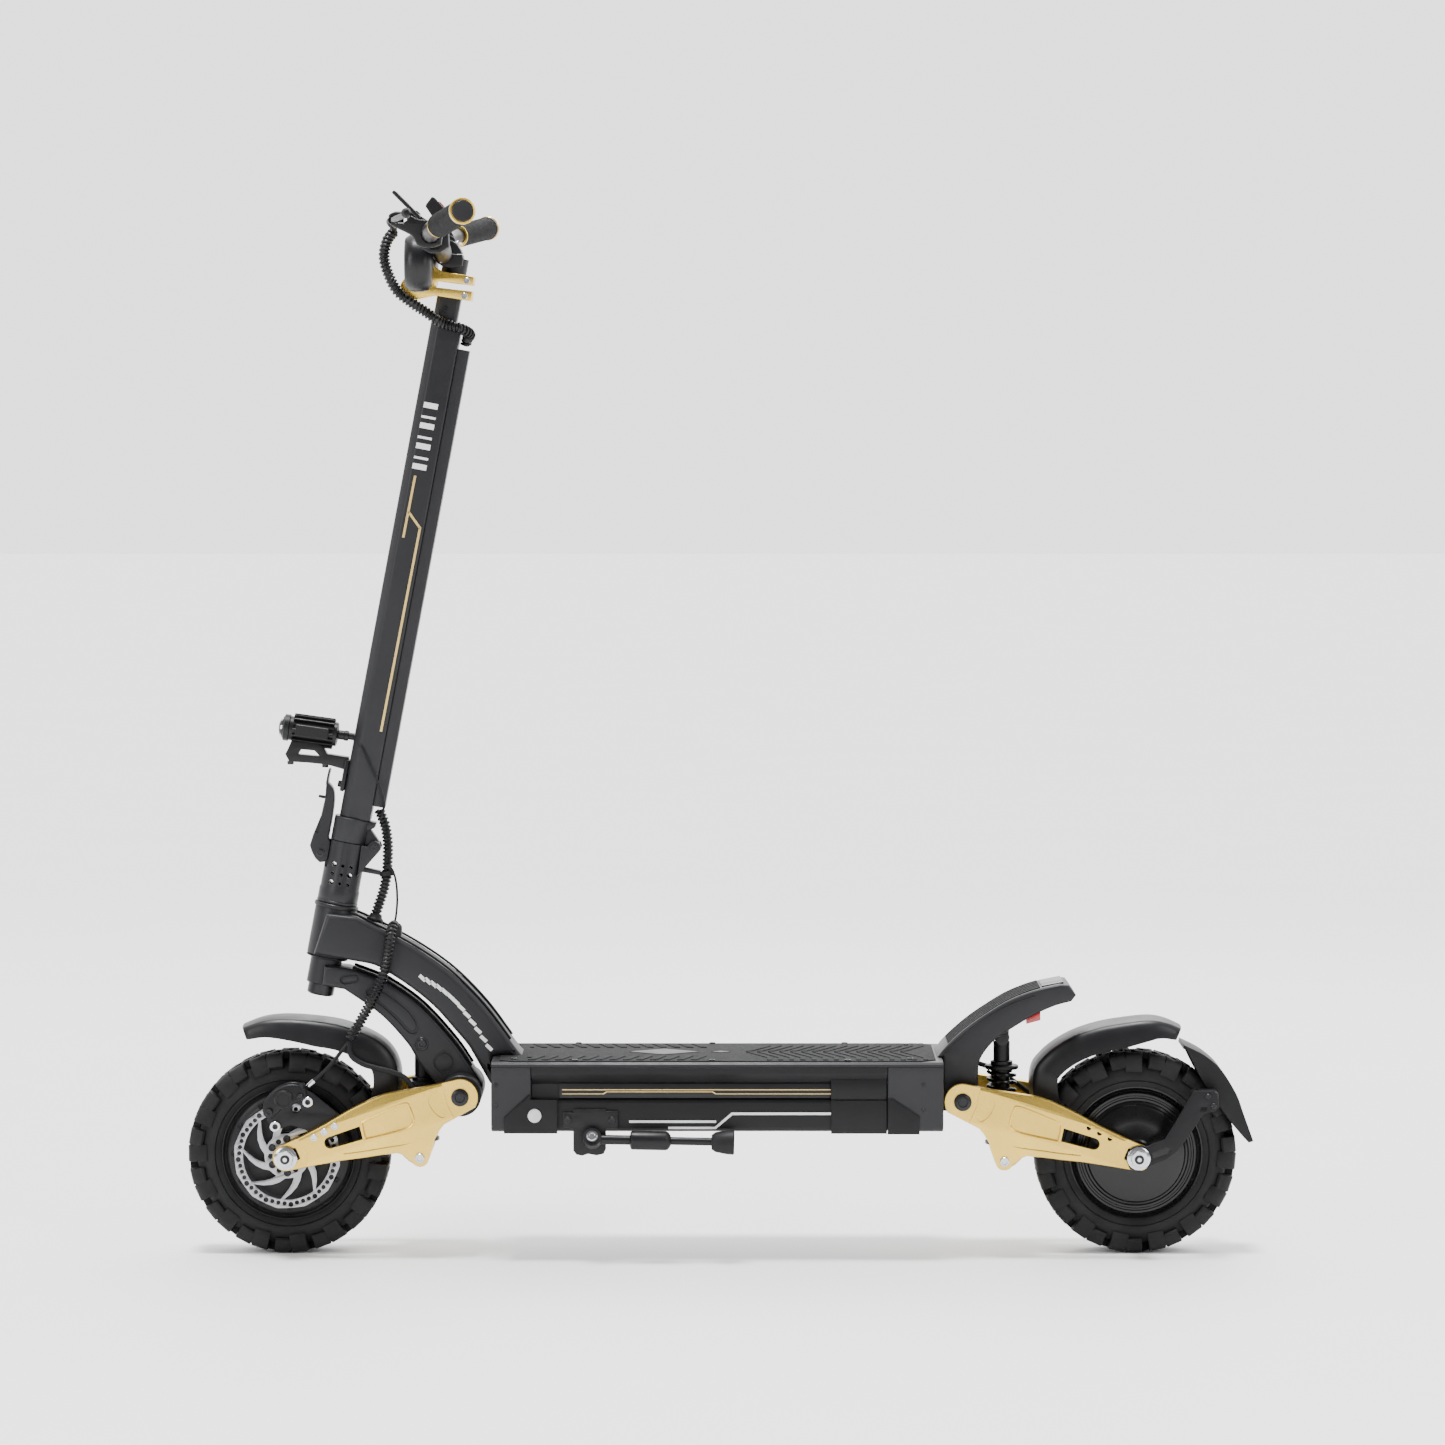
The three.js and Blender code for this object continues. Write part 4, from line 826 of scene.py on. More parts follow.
for side in LEFT_RIGHT:
    rail = smooth_line([(470, 20, 432.5), (450, 25, 423.5), (420, 26.5, 408.3), (380, 26.5, 385.3), (340, 26.5,
            356.3),
                        (300, 26.5, 315.3), (268, 26.5, 272)], 5)
    side_rails.append(hose([(p.x, p.y * side, p.z) for p in rail], 1.6, 2, smooth=False))
place_piece("neck_top_rails", gather(*side_rails), black_metal, "frame")


neck_strokes = []
for k in range(13):
    share = k / 12
    x, z = 379 - 84 * share, 350 - 88 * share + 14 * math.sin(math.pi * share)
    for side in LEFT_RIGHT:
        bm = block((-2.2, 0, -5.2), (2.2, 0.5, 5.2), 0.15, 1)
        bm.transform(at(x, 33.7, z) @ Matrix.Rotation(math.radians(46), 4, "Y"))
        neck_strokes.append(bm if side > 0 else mirrored(bm))
place_piece("neck_stroke_row", gather(*neck_strokes), white_paint, "frame")

# Head bearings, crown nut and the steel steerer
lower_cup = turned([(22.5, -70.4), (24.6, -70.4), (26.4, -69.4), (26.4, -68.4), (22.5, -68.3)], STEER, steps=56)
place_piece("steerer_shaft", gather(turned([(0, -118), (14.6, -118), (17, -116.2), (17, -104.4), (14, -104.4), (14,
        22),
                                            (0, 22)], STEER, steps=48)), dark_steel, "steerer", "steerer_tube")
place_piece("head_bearing", gather(lower_cup, turned([(22.4, -5), (27.6, -5), (28, -4), (28, -1.2), (27.2, -0.4),
                                                      (22.4, -0.3)], STEER, steps=64)), black_metal, "frame")

# ---- C-shaped fork arm ----------------------------------------------------------------------
def plane_line(points, steps=4):
    return [(p.x, p.y) for p in smooth_line([(x, z, 0) for x, z in points], steps)]


fork_top = plane_line([(475, 362), (455, 356), (420, 341), (380, 312), (340, 268), (318, 236), (304, 214)])
fork_low = plane_line([(362, 214), (372, 226), (383, 240), (392, 256), (400, 268), (420, 291), (440, 309), (478,
        335)])
fork_edge = [(503, 365), *fork_top, *arc(330, 204, 26, 200, 292, 8), *fork_low, (506, 340)]
fork_body = slab(fork_edge, -30, 30, 4.5, rounds=4)
eye_slot = block((356.4, -13, 150), (404.4, 13, 278))
spring_room = turned([(0, 150), (24, 150), (24, 238), (0, 238)], at(380.4, 0, 0), steps=48)
windows = [long_hole(465, 350, 477, 348, 6.6, 8),
           [(p[0], p[1]) for p in plane_line([(447, 338), (437, 338), (420, 330), (397, 312), (388, 300), (383, 288),
                                              (388, 279),
                                              (398, 281), (412, 296), (430, 313), (447, 325), (451, 333)], 3)],
           plane_line([(352, 259), (343, 254), (338, 244), (343, 233), (353, 228), (362, 234), (366, 244), (361,
                   254)], 4)]
sinks = []
for outline in windows:
    for side in LEFT_RIGHT:
        low, high = (27.4, 33) if side > 0 else (-33, -27.4)
        sinks.append(slab(outline, low, high))
steerer_bore = turned([(0, -130), (14.6, -130), (14.6, -40), (0, -40)], STEER, steps=40)
crown = turned([(14.6, -104), (19, -104), (20, -103), (20, -71), (19, -70), (14.6, -70), (14.6, -104)], STEER,
               steps=56)
sleeve = turned([(0, -64), (25, -64), (26, -63), (26, 63), (25, 64), (0, 64)], at(330, 0, 204) @ ACROSS, steps=56)
shock_bolt = turned([(0, -20), (4.8, -20), (4.8, 20), (0, 20)], at(380.4, 0, 266) @ ACROSS, steps=24)
pin = turned([(0, -81), (8, -81), (8, 81), (0, 81)], at(330, 0, 204) @ ACROSS, steps=32)
place_piece("fork_casting", gather(carved(fork_body, eye_slot, spring_room, steerer_bore, *sinks), crown, sleeve,
                                   shock_bolt, pin), graphite, "steerer", "fork_arm", angle=40)
raised = [slab([(x, z) for x, z in plane_line([(352, 255), (345, 251), (341.6, 244), (345, 236), (353, 232), (360,
        237), (362.6, 244),
                                               (358.6, 251)], 4)], 28.4, 29.4, 0.3)]
raised.append(slab(plane_line([(445, 334.4), (437, 334), (421, 326), (400, 309), (392, 299), (387.4, 289), (391,
        283.4),
                               (397, 286), (410, 300), (429, 317), (444, 328.4), (447, 332)], 3), 28.4, 29.4, 0.3))
raised.append(slab(long_hole(465, 350, 477, 348, 3.4, 8), 28.4, 29.4, 0.3))
place_piece("fork_window_pads", gather(*raised), graphite, "steerer")
ridge = []
for side in LEFT_RIGHT:
    rail = plane_line([(468, 362.4), (440, 352), (420, 342.6), (380, 313.6), (340, 269.6), (318, 237.6)], 6)
    ridge.append(hose([(x, 21 * side, z) for x, z in rail], 1.8, 2, smooth=False))
place_piece("fork_top_strips", gather(*ridge), black_metal, "steerer")


def pivot_bolts(x, z, name, body):
    spots = [at(x, 80.2, z) @ ACROSS, at(x, -80.2, z) @ Matrix.Rotation(math.radians(90), 4, "X")]
    washer = repeated(turned([(5, 0), (11, 0), (11, 0.8), (10.4, 1.2), (5, 1.2)], steps=48), spots)
    head = repeated(cap_screw(9.4, 3.0, 0.58), [spot @ at(0, 0, 0.8) for spot in spots])
    place_piece(name, gather(washer, head), dark_steel, body)


pivot_bolts(330, 204, "front_pivot_bolts", "steerer")
spots = [at(380.4, 29.4, 266) @ ACROSS, at(380.4, -29.4, 266) @ Matrix.Rotation(math.radians(90), 4, "X")]
place_piece("fork_shock_screws", repeated(gather(turned([(0, 0), (8.6, 0), (8.6, 1.2), (8, 1.8), (0, 1.8)], steps=40),
                                                 gather(cap_screw(6.2, 4.2), place=at(0, 0, 1))), spots), dark_steel,
            "steerer")

# ---- Kick tail over the rear wheel ------------------------------------------------------------
arch_top = plane_line([(-271, 251.6), (-284, 267.4), (-303, 284.8), (-321, 298.6), (-342, 312.4), (-360, 323), (-381,
        332),
                       (-400, 338), (-425, 343.6)])
arch_low = plane_line([(-440, 322), (-420, 316.6), (-400, 308), (-380, 297), (-345, 274), (-328, 254), (-323, 240)])
arch_edge = [*arch_top, (-437, 342.6), (-446, 330), *arch_low, (-322, 183), (-277.6, 183), (-277.6, 251.6)]
arch = slab(arch_edge, -50, 50, 4, rounds=4)
eye_room = turned([(0, -11.7), (11, -11.7), (11, 11.7), (0, 11.7)], at(-354.5, 0, 272) @ ACROSS, steps=40)
ear = [(-346, 288), (-346, 268), (-350, 263), (-354.5, 261.4), (-359, 263), (-363, 268), (-363, 298)]
rear_sleeve = turned([(0, -64), (16, -64), (17, -63), (17, 63), (16, 64), (0, 64)], at(-302, 0, 198) @ ACROSS,
                     steps=48)
rear_pin = turned([(0, -81), (8, -81), (8, 81), (0, 81)], at(-302, 0, 198) @ ACROSS, steps=32)
upper_bolt = turned([(0, -21), (4.8, -21), (4.8, 21), (0, 21)], at(-354.5, 0, 272) @ ACROSS, steps=24)
place_piece("tail_casting", gather(carved(arch, eye_room), slab(ear, 12, 18, 0.8), slab(ear, -18, -12, 0.8),
                                   rear_sleeve,
                                   rear_pin, upper_bolt), graphite, "frame", "rear_arch", angle=40)
pivot_bolts(-302, 198, "rear_pivot_bolts", "frame")
pads = []
crown_line = [p for p in arch_top if -404 < p[0] < -281]
for lane in (-37, -22.5, -7.5, 7.5, 22.5, 37):
    strip = [(x - 0.9, z + 1.6) for x, z in crown_line] + [(x + 0.6, z - 1.2) for x, z in reversed(crown_line)]
    pads.append(slab(strip, lane - 5, lane + 5, 0.6))
place_piece("tail_step_pads", gather(*pads), mat_rubber, "frame")
rails = []
for side in LEFT_RIGHT:
    rails.append(hose([(x + 6, 49.6 * side, z - 9) for x, z in crown_line[::3]], 1.4, 2, 4))
place_piece("tail_side_ribs", gather(*rails), black_metal, "frame")
window = block((-14, -36, -1.0), (14, 36, 1.2), 0.6, 2, at(-417, 0, 342) @ Matrix.Rotation(math.radians(11), 4, "Y"))
place_piece("tail_window", window, lens_smoke, "frame")
light = slab([(-402, 307.2), (-384.2, 298.4), (-384.2, 291.4), (-402, 296.2)], -31.8, 31.8, 1.2)
place_piece("tail_lamp", light, red_lens, "frame", "tail_light")

# ---- Kickstand --------------------------------------------------------------------------------
lean = Vector((0, math.cos(math.pi / 6), math.sin(math.pi / 6)))
pivot = Vector((163, 115, 157))
plate = slab([(131, 190), (146, 190), (146, 192), (187, 192), (187, 188), (200, 188), (200, 170), (187, 168), (187,
        140),
              (183, 135), (176, 133.6), (168, 136), (158, 134), (149, 136), (146, 142), (146, 168), (131, 168)], 98.5,
             103, 1.0)
pin = turned([(0, -15), (5, -15), (5, 7), (0, 7)], facing(pivot, lean), steps=24)
place_piece("stand_bracket", gather(plate, pin), black_metal, "frame", "kickstand_bracket")
stand_heads = [at(194, 103, 178.6) @ ACROSS, at(138.4, 103, 178.6) @ ACROSS]
place_piece("stand_bracket_screws", repeated(cap_screw(4.6, 2.4), stand_heads), dark_steel, "frame")
place_piece("stand_pivot_screw", gather(turned([(0, 0), (7.4, 0), (7.4, 1), (0, 1)], steps=32), cap_screw(6.4, 3.2),
                                        place=facing(pivot + lean * 6.6, lean)), chrome, "frame")
knuckle = turned([(5.4, -6), (11.4, -6), (12, -5.2), (12, 5.2), (11.4, 6), (5.4, 6), (5.4, -6)], facing(pivot, lean),
                 steps=48)
along = Vector((-1, 0, -0.02))
leg = turned([(0, 0), (6, 0), (6, 41), (10, 42), (11.6, 43), (12, 45), (12, 86), (11, 89), (7, 92), (5, 92.6), (5,
        143),
              (9, 143.6), (9, 146), (12, 152), (14.6, 168), (15, 170.6), (14, 171.4), (0, 171.4)],
             facing((157, 115, 156), along), steps=40)
place_piece("stand_leg", gather(knuckle, leg), black_metal, "kickstand", "kickstand")
foot = turned([(9.2, 0), (12.6, 5), (15.2, 20), (15.6, 27), (14.4, 28.4), (9, 28.4), (9, 26), (9.2, 0)],
              facing((13.6, 115, 152.8), along), steps=40)
place_piece("stand_foot_cap", foot, soft_rubber, "kickstand")

# ---- Stem base, latch and fold collar ---------------------------------------------------------
base_tube = turned([(14.6, 0.4), (25.2, 0.4), (26, 1.2), (26, 3.2), (25.2, 4), (25.6, 4.6), (25.6, 18.4), (24.7, 20),
                    (24.7, 79.4), (14.6, 79.4), (14.6, 0.4)], steps=96)
holes = []
for row, up in enumerate((27, 38.5, 50)):
    for column, ahead in enumerate((11.4, 0, -10.4)):
        radius = 3.3 if (row, column) in ((0, 0), (2, 0), (1, 2)) else 2.0
        holes.append(turned([(0, -30), (radius, -30), (radius, 30), (0, 30)], at(ahead, 0, up) @ ACROSS, steps=20))
seam_cut = block((2.6, 24.1, 22), (3.4, 26, 79), 0)
holes.append(seam_cut)
lever_room = [block((15.5, 5.3, 44), (40, 14, 90)), block((15.5, -14, 44), (40, -5.3, 90))]
hinge_room = turned([(0, -10), (14.6, -10), (14.6, 10), (0, 10)], at(-34, 0, 80) @ ACROSS, steps=48)
base_tube = carved(base_tube, *holes, *lever_room, hinge_room)
ear = [(-20, 40), (-26, 50), (-36, 67), (-41, 75), (-42.6, 81), (-40, 86), (-34.5, 88.2), (-29.5, 86), (-25.5, 79.6),
       (-18, 79.4)]
lug = [(14, 54), (33, 54), (36.5, 60), (33, 67), (14, 70)]
latch_pin = turned([(0, -12), (3.4, -12), (3.4, 12), (0, 12)], at(31.7, 0, 60.2) @ ACROSS, steps=24)
clip = block((-47.5, 0, 46), (-18, 12, 52), 1.2)
place_piece("base_casting", gather(base_tube, slab(ear, 10, 20, 1.4), slab(ear, -20, -10, 1.4), slab(lug, -5, 5, 0.8),
                                   latch_pin, clip, place=STEER), graphite, "steerer", "stem_base")
lever_edge = plane_line([(38.6, 150), (31, 143), (27, 132), (25.6, 118), (25.2, 108)], 3) + [
    (25.2, 80), (20.8, 76), (20.8, 52.6), (25, 49.6), (30.5, 48), (37, 52), (43, 60), (46.6, 67), (45, 81), (39.5,
            107),
    (38.5, 128), (41, 156), (40.4, 167), (38.4, 167.4)]
lever = carved(slab(lever_edge, -12, 12, 2.2, rounds=3), block((0, -5.5, 40), (38.5, 5.5, 82)),
               turned([(0, -20), (3.8, -20), (3.8, 20), (0, 20)], at(31.7, 0, 60.2) @ ACROSS, steps=24),
               block((39, -20, 84), (60, -8.6, 140)), block((39, 8.6, 84), (60, 20, 140)))
tab = block((38.6, -3, 128), (47.5, 3, 131.6), 1.0)
place_piece("latch_handle", gather(lever, tab, place=STEER), graphite, "latch", "latch_lever")
latch_heads = [at(31.7, 12, 60.2) @ ACROSS, at(31.7, -12, 60.2) @ Matrix.Rotation(math.radians(90), 4, "X")]
place_piece("latch_pin_heads", gather(repeated(cap_screw(5.2, 1.6), latch_heads), place=STEER), dark_steel, "steerer")

ring_body = turned([(0, 80.3), (23.6, 80.3), (24, 81), (24, 109.6), (23, 111), (0, 111)], steps=72)
tongue = slab([(-8, 81), (-20, 80.6), (-26, 79), (-28, 74), (-34, 72), (-39, 74), (-41.6, 80), (-38, 88), (-20, 106),
               (-8, 106)], -9.5, 9.5, 1.2)
collar = carved(gather(ring_body), block((22, -30, 60), (40, 30, 130)))
hood = slab([(-22, 98), (-30, 104), (-31, 110.4), (-21, 111), (-6, 111), (-6, 96)], -12, 12, 2.0)
place_piece("collar_casting", gather(collar, tongue, hood, place=STEER), graphite, "stem", "fold_collar")
fold_bolts = [at(-34, 20, 80) @ ACROSS, at(-34, -20, 80) @ Matrix.Rotation(math.radians(90), 4, "X")]
place_piece("fold_hinge_heads", gather(repeated(cap_screw(4.6, 1.8), fold_bolts), place=STEER), dark_steel, "steerer")

# ---- Stem ---------------------------------------------------------------------------------------
TO_PLAN = Matrix.Rotation(math.radians(-90), 4, "X")


def standing(outline, low, high, bevel=0.0, holes=(), rounds=3):
    """A plan outline (ahead, left) raised from low to high along the stem."""
    bm = slab(outline, -high, -low, bevel, holes, rounds)
    bm.transform(TO_PLAN)
    bmesh.ops.recalc_face_normals(bm, faces=bm.faces)
    return bm


def rounded_corners(points, radius, steps=4):
    line = []
    count = len(points)
    for i, point in enumerate(points):
        here, before, after = Vector(point), Vector(points[i - 1]), Vector(points[(i + 1) % count])
        start = here + (before - here).normalized() * radius
        finish = here + (after - here).normalized() * radius
        for k in range(steps + 1):
            t = k / steps
            line.append(tuple((1 - t) ** 2 * start + 2 * t * (1 - t) * here + t * t * finish))
    return line


profile = rounded_corners([(16.4, 11), (7, 20), (-22.9, 20), (-22.9, -20), (7, -20), (16.4, -11)], 2.4)
channel = rounded_corners([(-23, 16.6), (-38, 13), (-38, -13), (-23, -16.6)], 1.6)
stem_shell = standing(profile, 111.4, 748, 1.0)
cover = standing(channel, 131, 718, 0.8)
flat = block((-9, 15.0, 752), (9, 16.6, 778), 0.6)
place_piece("stem_extrusion", gather(stem_shell, cover, place=STEER), graphite, "stem", "stem_tube")
sleeve = standing(rounded_corners([(15, 9.6), (8, 16.6), (-12, 16.6), (-15.6, 13), (-15.6, -13), (-12, -16.6), (8,
        -16.6),
                                   (15, -9.6)], 2), 748.2, 784.6, 0.8)
screw = gather(cap_screw(4.6, 1.4), place=at(1.5, 16.4, 764) @ ACROSS)
place_piece("inner_post", gather(sleeve, place=STEER), graphite, "stem")
place_piece("post_screw", gather(screw, place=STEER), black_metal, "stem")


def stripe(points, width, reach=20.05):
    """A thin painted line on both sides of the stem."""
    strokes = []
    for (x1, z1), (x2, z2) in zip(points, points[1:]):
        run = Vector((x2 - x1, z2 - z1)).normalized() * (width * 0.5)
        across = Vector((-run.y, run.x))
        outline = [(x1 - run.x * 0.6 + across.x, z1 - run.y * 0.6 + across.y), (x1 - run.x * 0.6 - across.x,
                z1 - run.y * 0.6 - across.y),
                   (x2 + run.x * 0.6 - across.x, z2 + run.y * 0.6 - across.y), (x2 + run.x * 0.6 + across.x,
                           z2 + run.y * 0.6 + across.y)]
        strokes.append(slab(outline, reach, reach + 0.3))
        strokes.append(slab(outline, -reach - 0.3, -reach))
    return gather(*strokes)


place_piece("stem_gold_lines", gather(stripe([(387, 983), (402, 907)], 3),
                                      stripe([(395, 938), (381, 918), (431, 662)], 3)),
            gold_foil, "stem")
marks = []
for k in range(7):
    up = 560 + 13 * k
    marks.append(standing([(-12, 19.9), (6, 19.9), (6, 20.3), (-12, 20.3)], up, up + (7 if k % 2 == 0 else 3)))
    marks.append(standing([(-12, -20.3), (6, -20.3), (6, -19.9), (-12, -19.9)], up, up + (7 if k % 2 == 0 else 3)))
place_piece("stem_white_bars", gather(*marks, place=STEER), white_paint, "stem")

# ---- Handlebar --------------------------------------------------------------------------------
BAR = [(350, 0, 1262), (350, 42, 1262), (349.5, 92, 1267.5), (359, 140, 1279), (358, 176, 1284.5), (355, 200, 1287.4),
       (346, 232, 1291), (328.5, 294.5, 1298), (311, 357, 1305)]
bar_route = [(x, -y, z) for x, y, z in reversed(BAR[1:])] + BAR
place_piece("bar_tube", hose(bar_route, 11.1, 5, 8), black_metal, "stem", "handlebar")
clamp = plane_line([(327, 1247), (336, 1244.6), (347, 1245), (357, 1250), (364, 1259), (366, 1270), (360, 1278), (349,
        1280),
                    (338, 1278), (329, 1268), (325.6, 1256)], 3)
spigot = turned([(0, 799), (15.4, 799), (16, 799.8), (16, 830), (0, 830)], STEER, steps=48)
bar_bore = turned([(0, -40), (11.6, -40), (11.6, 40), (0, 40)], at(350, 0, 1262) @ ACROSS, steps=40)
split = block((320, -30, 1261.4), (341, 30, 1262.8))
clamp_body = carved(gather(slab(clamp, -22, 22, 2.2, rounds=3)), bar_bore, split)
place_piece("bar_clamp_body", gather(clamp_body, spigot), black_metal, "stem", "bar_clamp")
clamp_heads = [facing((332.5, y, 1275), (-0.4, 0, 0.92)) for y in (-13, 13)]
place_piece("bar_clamp_screws", repeated(cap_screw(4, 3), clamp_heads), chrome, "stem")

inner, outer = Vector(BAR[6]), Vector(BAR[8])
grip_length = (outer - inner).length
profile = [(11.4, 4), (14.2, 4)]
y = 6.0
while y < grip_length - 9:
    profile += [(14.6, y), (15, y + 0.5), (15, y + 2.1), (14.2, y + 2.7), (14.2, y + 3.4)]
    y += 4.0
profile += [(14.8, grip_length - 7), (11.4, grip_length - 7), (11.4, 4)]
inner_ring = [(11.3, 2.2), (14.2, 2.2), (14.6, 2.6), (14.6, 3.4), (14.2, 3.8), (11.3, 3.8), (11.3, 2.2)]
end_ring = [(11.3, 5.4), (15.4, 5.4), (16.2, 6.2), (16.2, 8.2), (15.4, 9.2), (13.6, 9.4), (12.8, 8.6), (11.3, 8.6),
            (11.3, 5.4)]
end_clamp = [(11.3, 0), (15, 0), (15.6, 0.6), (15.6, 4.6), (15, 5.2), (11.3, 5.2), (11.3, 0)]
end_cap = [(0, 7.9), (12.7, 7.9), (12.7, 9.2), (11.8, 9.9), (6, 9.7), (0, 9.7)]
for side_name, side in (("left", 1), ("right", -1)):
    start = Vector((inner.x, inner.y * side, inner.z))
    run = Vector((outer.x, outer.y * side, outer.z)) - start
    place = facing(start, run)
    tip = facing(start + run.normalized() * (grip_length - 6.6), run)
    place_piece(f"grip_sleeve_{side_name}", turned(profile, place, steps=56), grip_rubber, "stem",
                f"grip_{side_name}")
    place_piece(f"grip_rings_{side_name}", gather(turned(inner_ring, place, steps=56), turned(end_ring, tip,
            steps=56)),
                gold, "stem")
    place_piece(f"grip_cap_{side_name}", gather(turned(end_cap, tip, steps=48), turned(end_clamp, tip, steps=48)),
                graphite, "stem")

    turn = (lambda bm: bm) if side > 0 else mirrored
    perch = plane_line([(344, 1284), (349, 1295), (362, 1300), (377, 1302), (390, 1309.6), (404, 1310), (411, 1305),
                        (410, 1296),
                        (398, 1289), (382, 1281), (375, 1269), (360, 1266), (346, 1270)], 3)
    body = slab(perch, 150, 166, 2.4, rounds=3)
    room = hose(BAR, 12.2, 4, 8)
    slot_room = block((388, 128, 1296.4), (420, 188, 1304.6))
    body = carved(body, room, slot_room)
    barrel = turned([(2.2, 0), (4.6, 0), (5.2, 1), (5.2, 4), (4.4, 5), (4.4, 9), (3.4, 10), (3.4, 14), (2.2, 14),
                     (2.2, 0)],
                    facing((407, 150.5, 1300.5), (0.2, -1, 0)), steps=32)
    perch_pin = gather(cap_screw(4.4, 2.4), place=at(400, 158, 1308.4))
    place_piece(f"brake_perch_body_{side_name}", turn(gather(body, barrel)), black_metal, "stem",
                f"brake_perch_{side_name}")
    place_piece(f"brake_perch_screws_{side_name}", turn(perch_pin), dark_steel, "stem")
    blade_route = smooth_line([(403, 162, 1300.5), (402.4, 180, 1300.5), (397, 212, 1301), (389, 250, 1302.4),
                               (382.4, 284, 1304.4)], 8)
    blade = hose(blade_route, 4, 4, smooth=False)
    blade.transform(at(0, 0, 1301) @ Matrix.Diagonal((1, 1, 0.9, 1)) @ at(0, 0, -1301))
    ball = turned([(0, -7), (3.6, -6), (6, -3), (6.4, 0), (6, 3), (3.6, 6), (0, 7)], facing((381.8, 289, 1304.6),
            (-0.15, 1, 0.03)),
                  steps=32)
    knuckle = turned([(3.1, -3.4), (7.6, -3.4), (8, -3), (8, 3), (7.6, 3.4), (3.1, 3.4), (3.1, -3.4)], at(400, 158,
            1300.5), steps=40)
    place_piece(f"brake_blade_{side_name}", turn(gather(blade, ball, knuckle)), black_metal,
                f"brake_lever_{side_name}",
                f"brake_lever_{side_name}")
    hose_route = [(409, 138, 1300.5), (413, 122, 1301), (415, 92, 1299), (414, 60, 1296), (412, 38, 1293), (411.4, 27,
            1288)]
    place_piece(f"brake_hose_{side_name}", turn(hose(hose_route, 2.6, 3, 8)) if side > 0 else hose(
        [(409, -138, 1300.5), (414, -120, 1302), (417, -86, 1302), (416, -40, 1300), (413, -4, 1298), (411, 20,
                1292)], 2.6, 3, 8),
        soft_rubber, "stem")

# Display with the throttle, on the right
turn_45 = Matrix.Rotation(math.radians(-45), 4, "Y")
tablet = block((-24, -33, -2.4), (24, 33, 2.4), 1.8, 3, at(403, -113, 1327.4) @ turn_45)
display_arm = slab(plane_line([(340, 1275), (343, 1286), (358, 1294), (380, 1310), (392, 1317), (402, 1318), (403,
        1310), (394, 1296),
                               (391, 1268), (372, 1262.6), (352, 1260)], 3), -121, -104, 2)
housing = block((371, -134, 1266), (396, -104, 1284), 3, 3)
trigger_room = block((379, -150, 1270.6), (408, -118, 1277.6))
bar_room = hose([(x, -y, z) for x, y, z in BAR], 12.2, 4, 8)
display_body = gather(carved(display_arm, bar_room), carved(housing,
                                                            hose([(x, -y, z) for x, y, z in BAR], 12.2, 4, 8),
                                                            trigger_room),
                      turned([(0, 1268), (2.6, 1268), (2.6, 1282), (0, 1282)], at(388, -128, 0), steps=20), tablet)
place_piece("display_body", display_body, black_plastic, "stem", "display_unit")
place_piece("display_glass", block((-20, -29, 2.2), (20, 29, 2.9), 0.3, 1, at(403, -113, 1327.4) @ turn_45), screen,
            "stem")
buttons = repeated(turned([(0, 0), (3, 0), (3, 1), (2.4, 1.5), (0, 1.5)], steps=24),
                   [at(403, -113, 1327.4) @ turn_45 @ at(-16.5, y, 2.6) for y in (-12, 0, 12)])
place_piece("display_buttons", buttons, soft_rubber, "stem")
paddle = hose([(391, -131, 1274), (396, -142, 1273), (395, -160, 1270.5), (389, -178, 1269.5)], 3, 4, 8)
paddle.transform(at(0, 0, 1272) @ Matrix.Diagonal((1, 1, 1.25, 1)) @ at(0, 0, -1272))
trigger_hub = turned([(3.1, 0), (6.6, 0), (7, 0.4), (7, 5.8), (6.6, 6.2), (3.1, 6.2), (3.1, 0)], at(388, -128, 1271),
                     steps=32)
place_piece("throttle_paddle", gather(paddle, trigger_hub), soft_rubber, "throttle", "throttle_trigger")

# Switch block with the horn button, on the left
switch_edge = plane_line([(338, 1268), (339, 1292), (338.6, 1309)], 2)[:-1] + [(338.6, 1309), (340, 1312), (356,
        1329), (359, 1330),
    (366, 1321), (367, 1318), (359, 1306), (360, 1300), (371, 1288), (376, 1280), (375.4, 1268), (362, 1260.6), (350,
            1260.6)]
switch_body = carved(slab(switch_edge, 104, 132, 2.4, rounds=3), hose(BAR, 12.4, 4, 8),
                     turned([(0, -5), (5.6, -5), (5.6, 12), (0, 12)], facing((348.5, 118, 1320), (-0.725, 0, 0.689)),
                            steps=40))
place_piece("switch_body", switch_body, black_plastic, "stem", "switch_block")
place_piece("horn_cap", turned([(0, -2.5), (4.8, -2.5), (5, -2.2), (5, 1.6), (4.3, 2.4), (2.4, 2), (0, 1.9)],
                               facing((348.5, 118, 1320), (-0.725, 0, 0.689)), steps=40), red_lens, "horn_button",
            "horn_button")

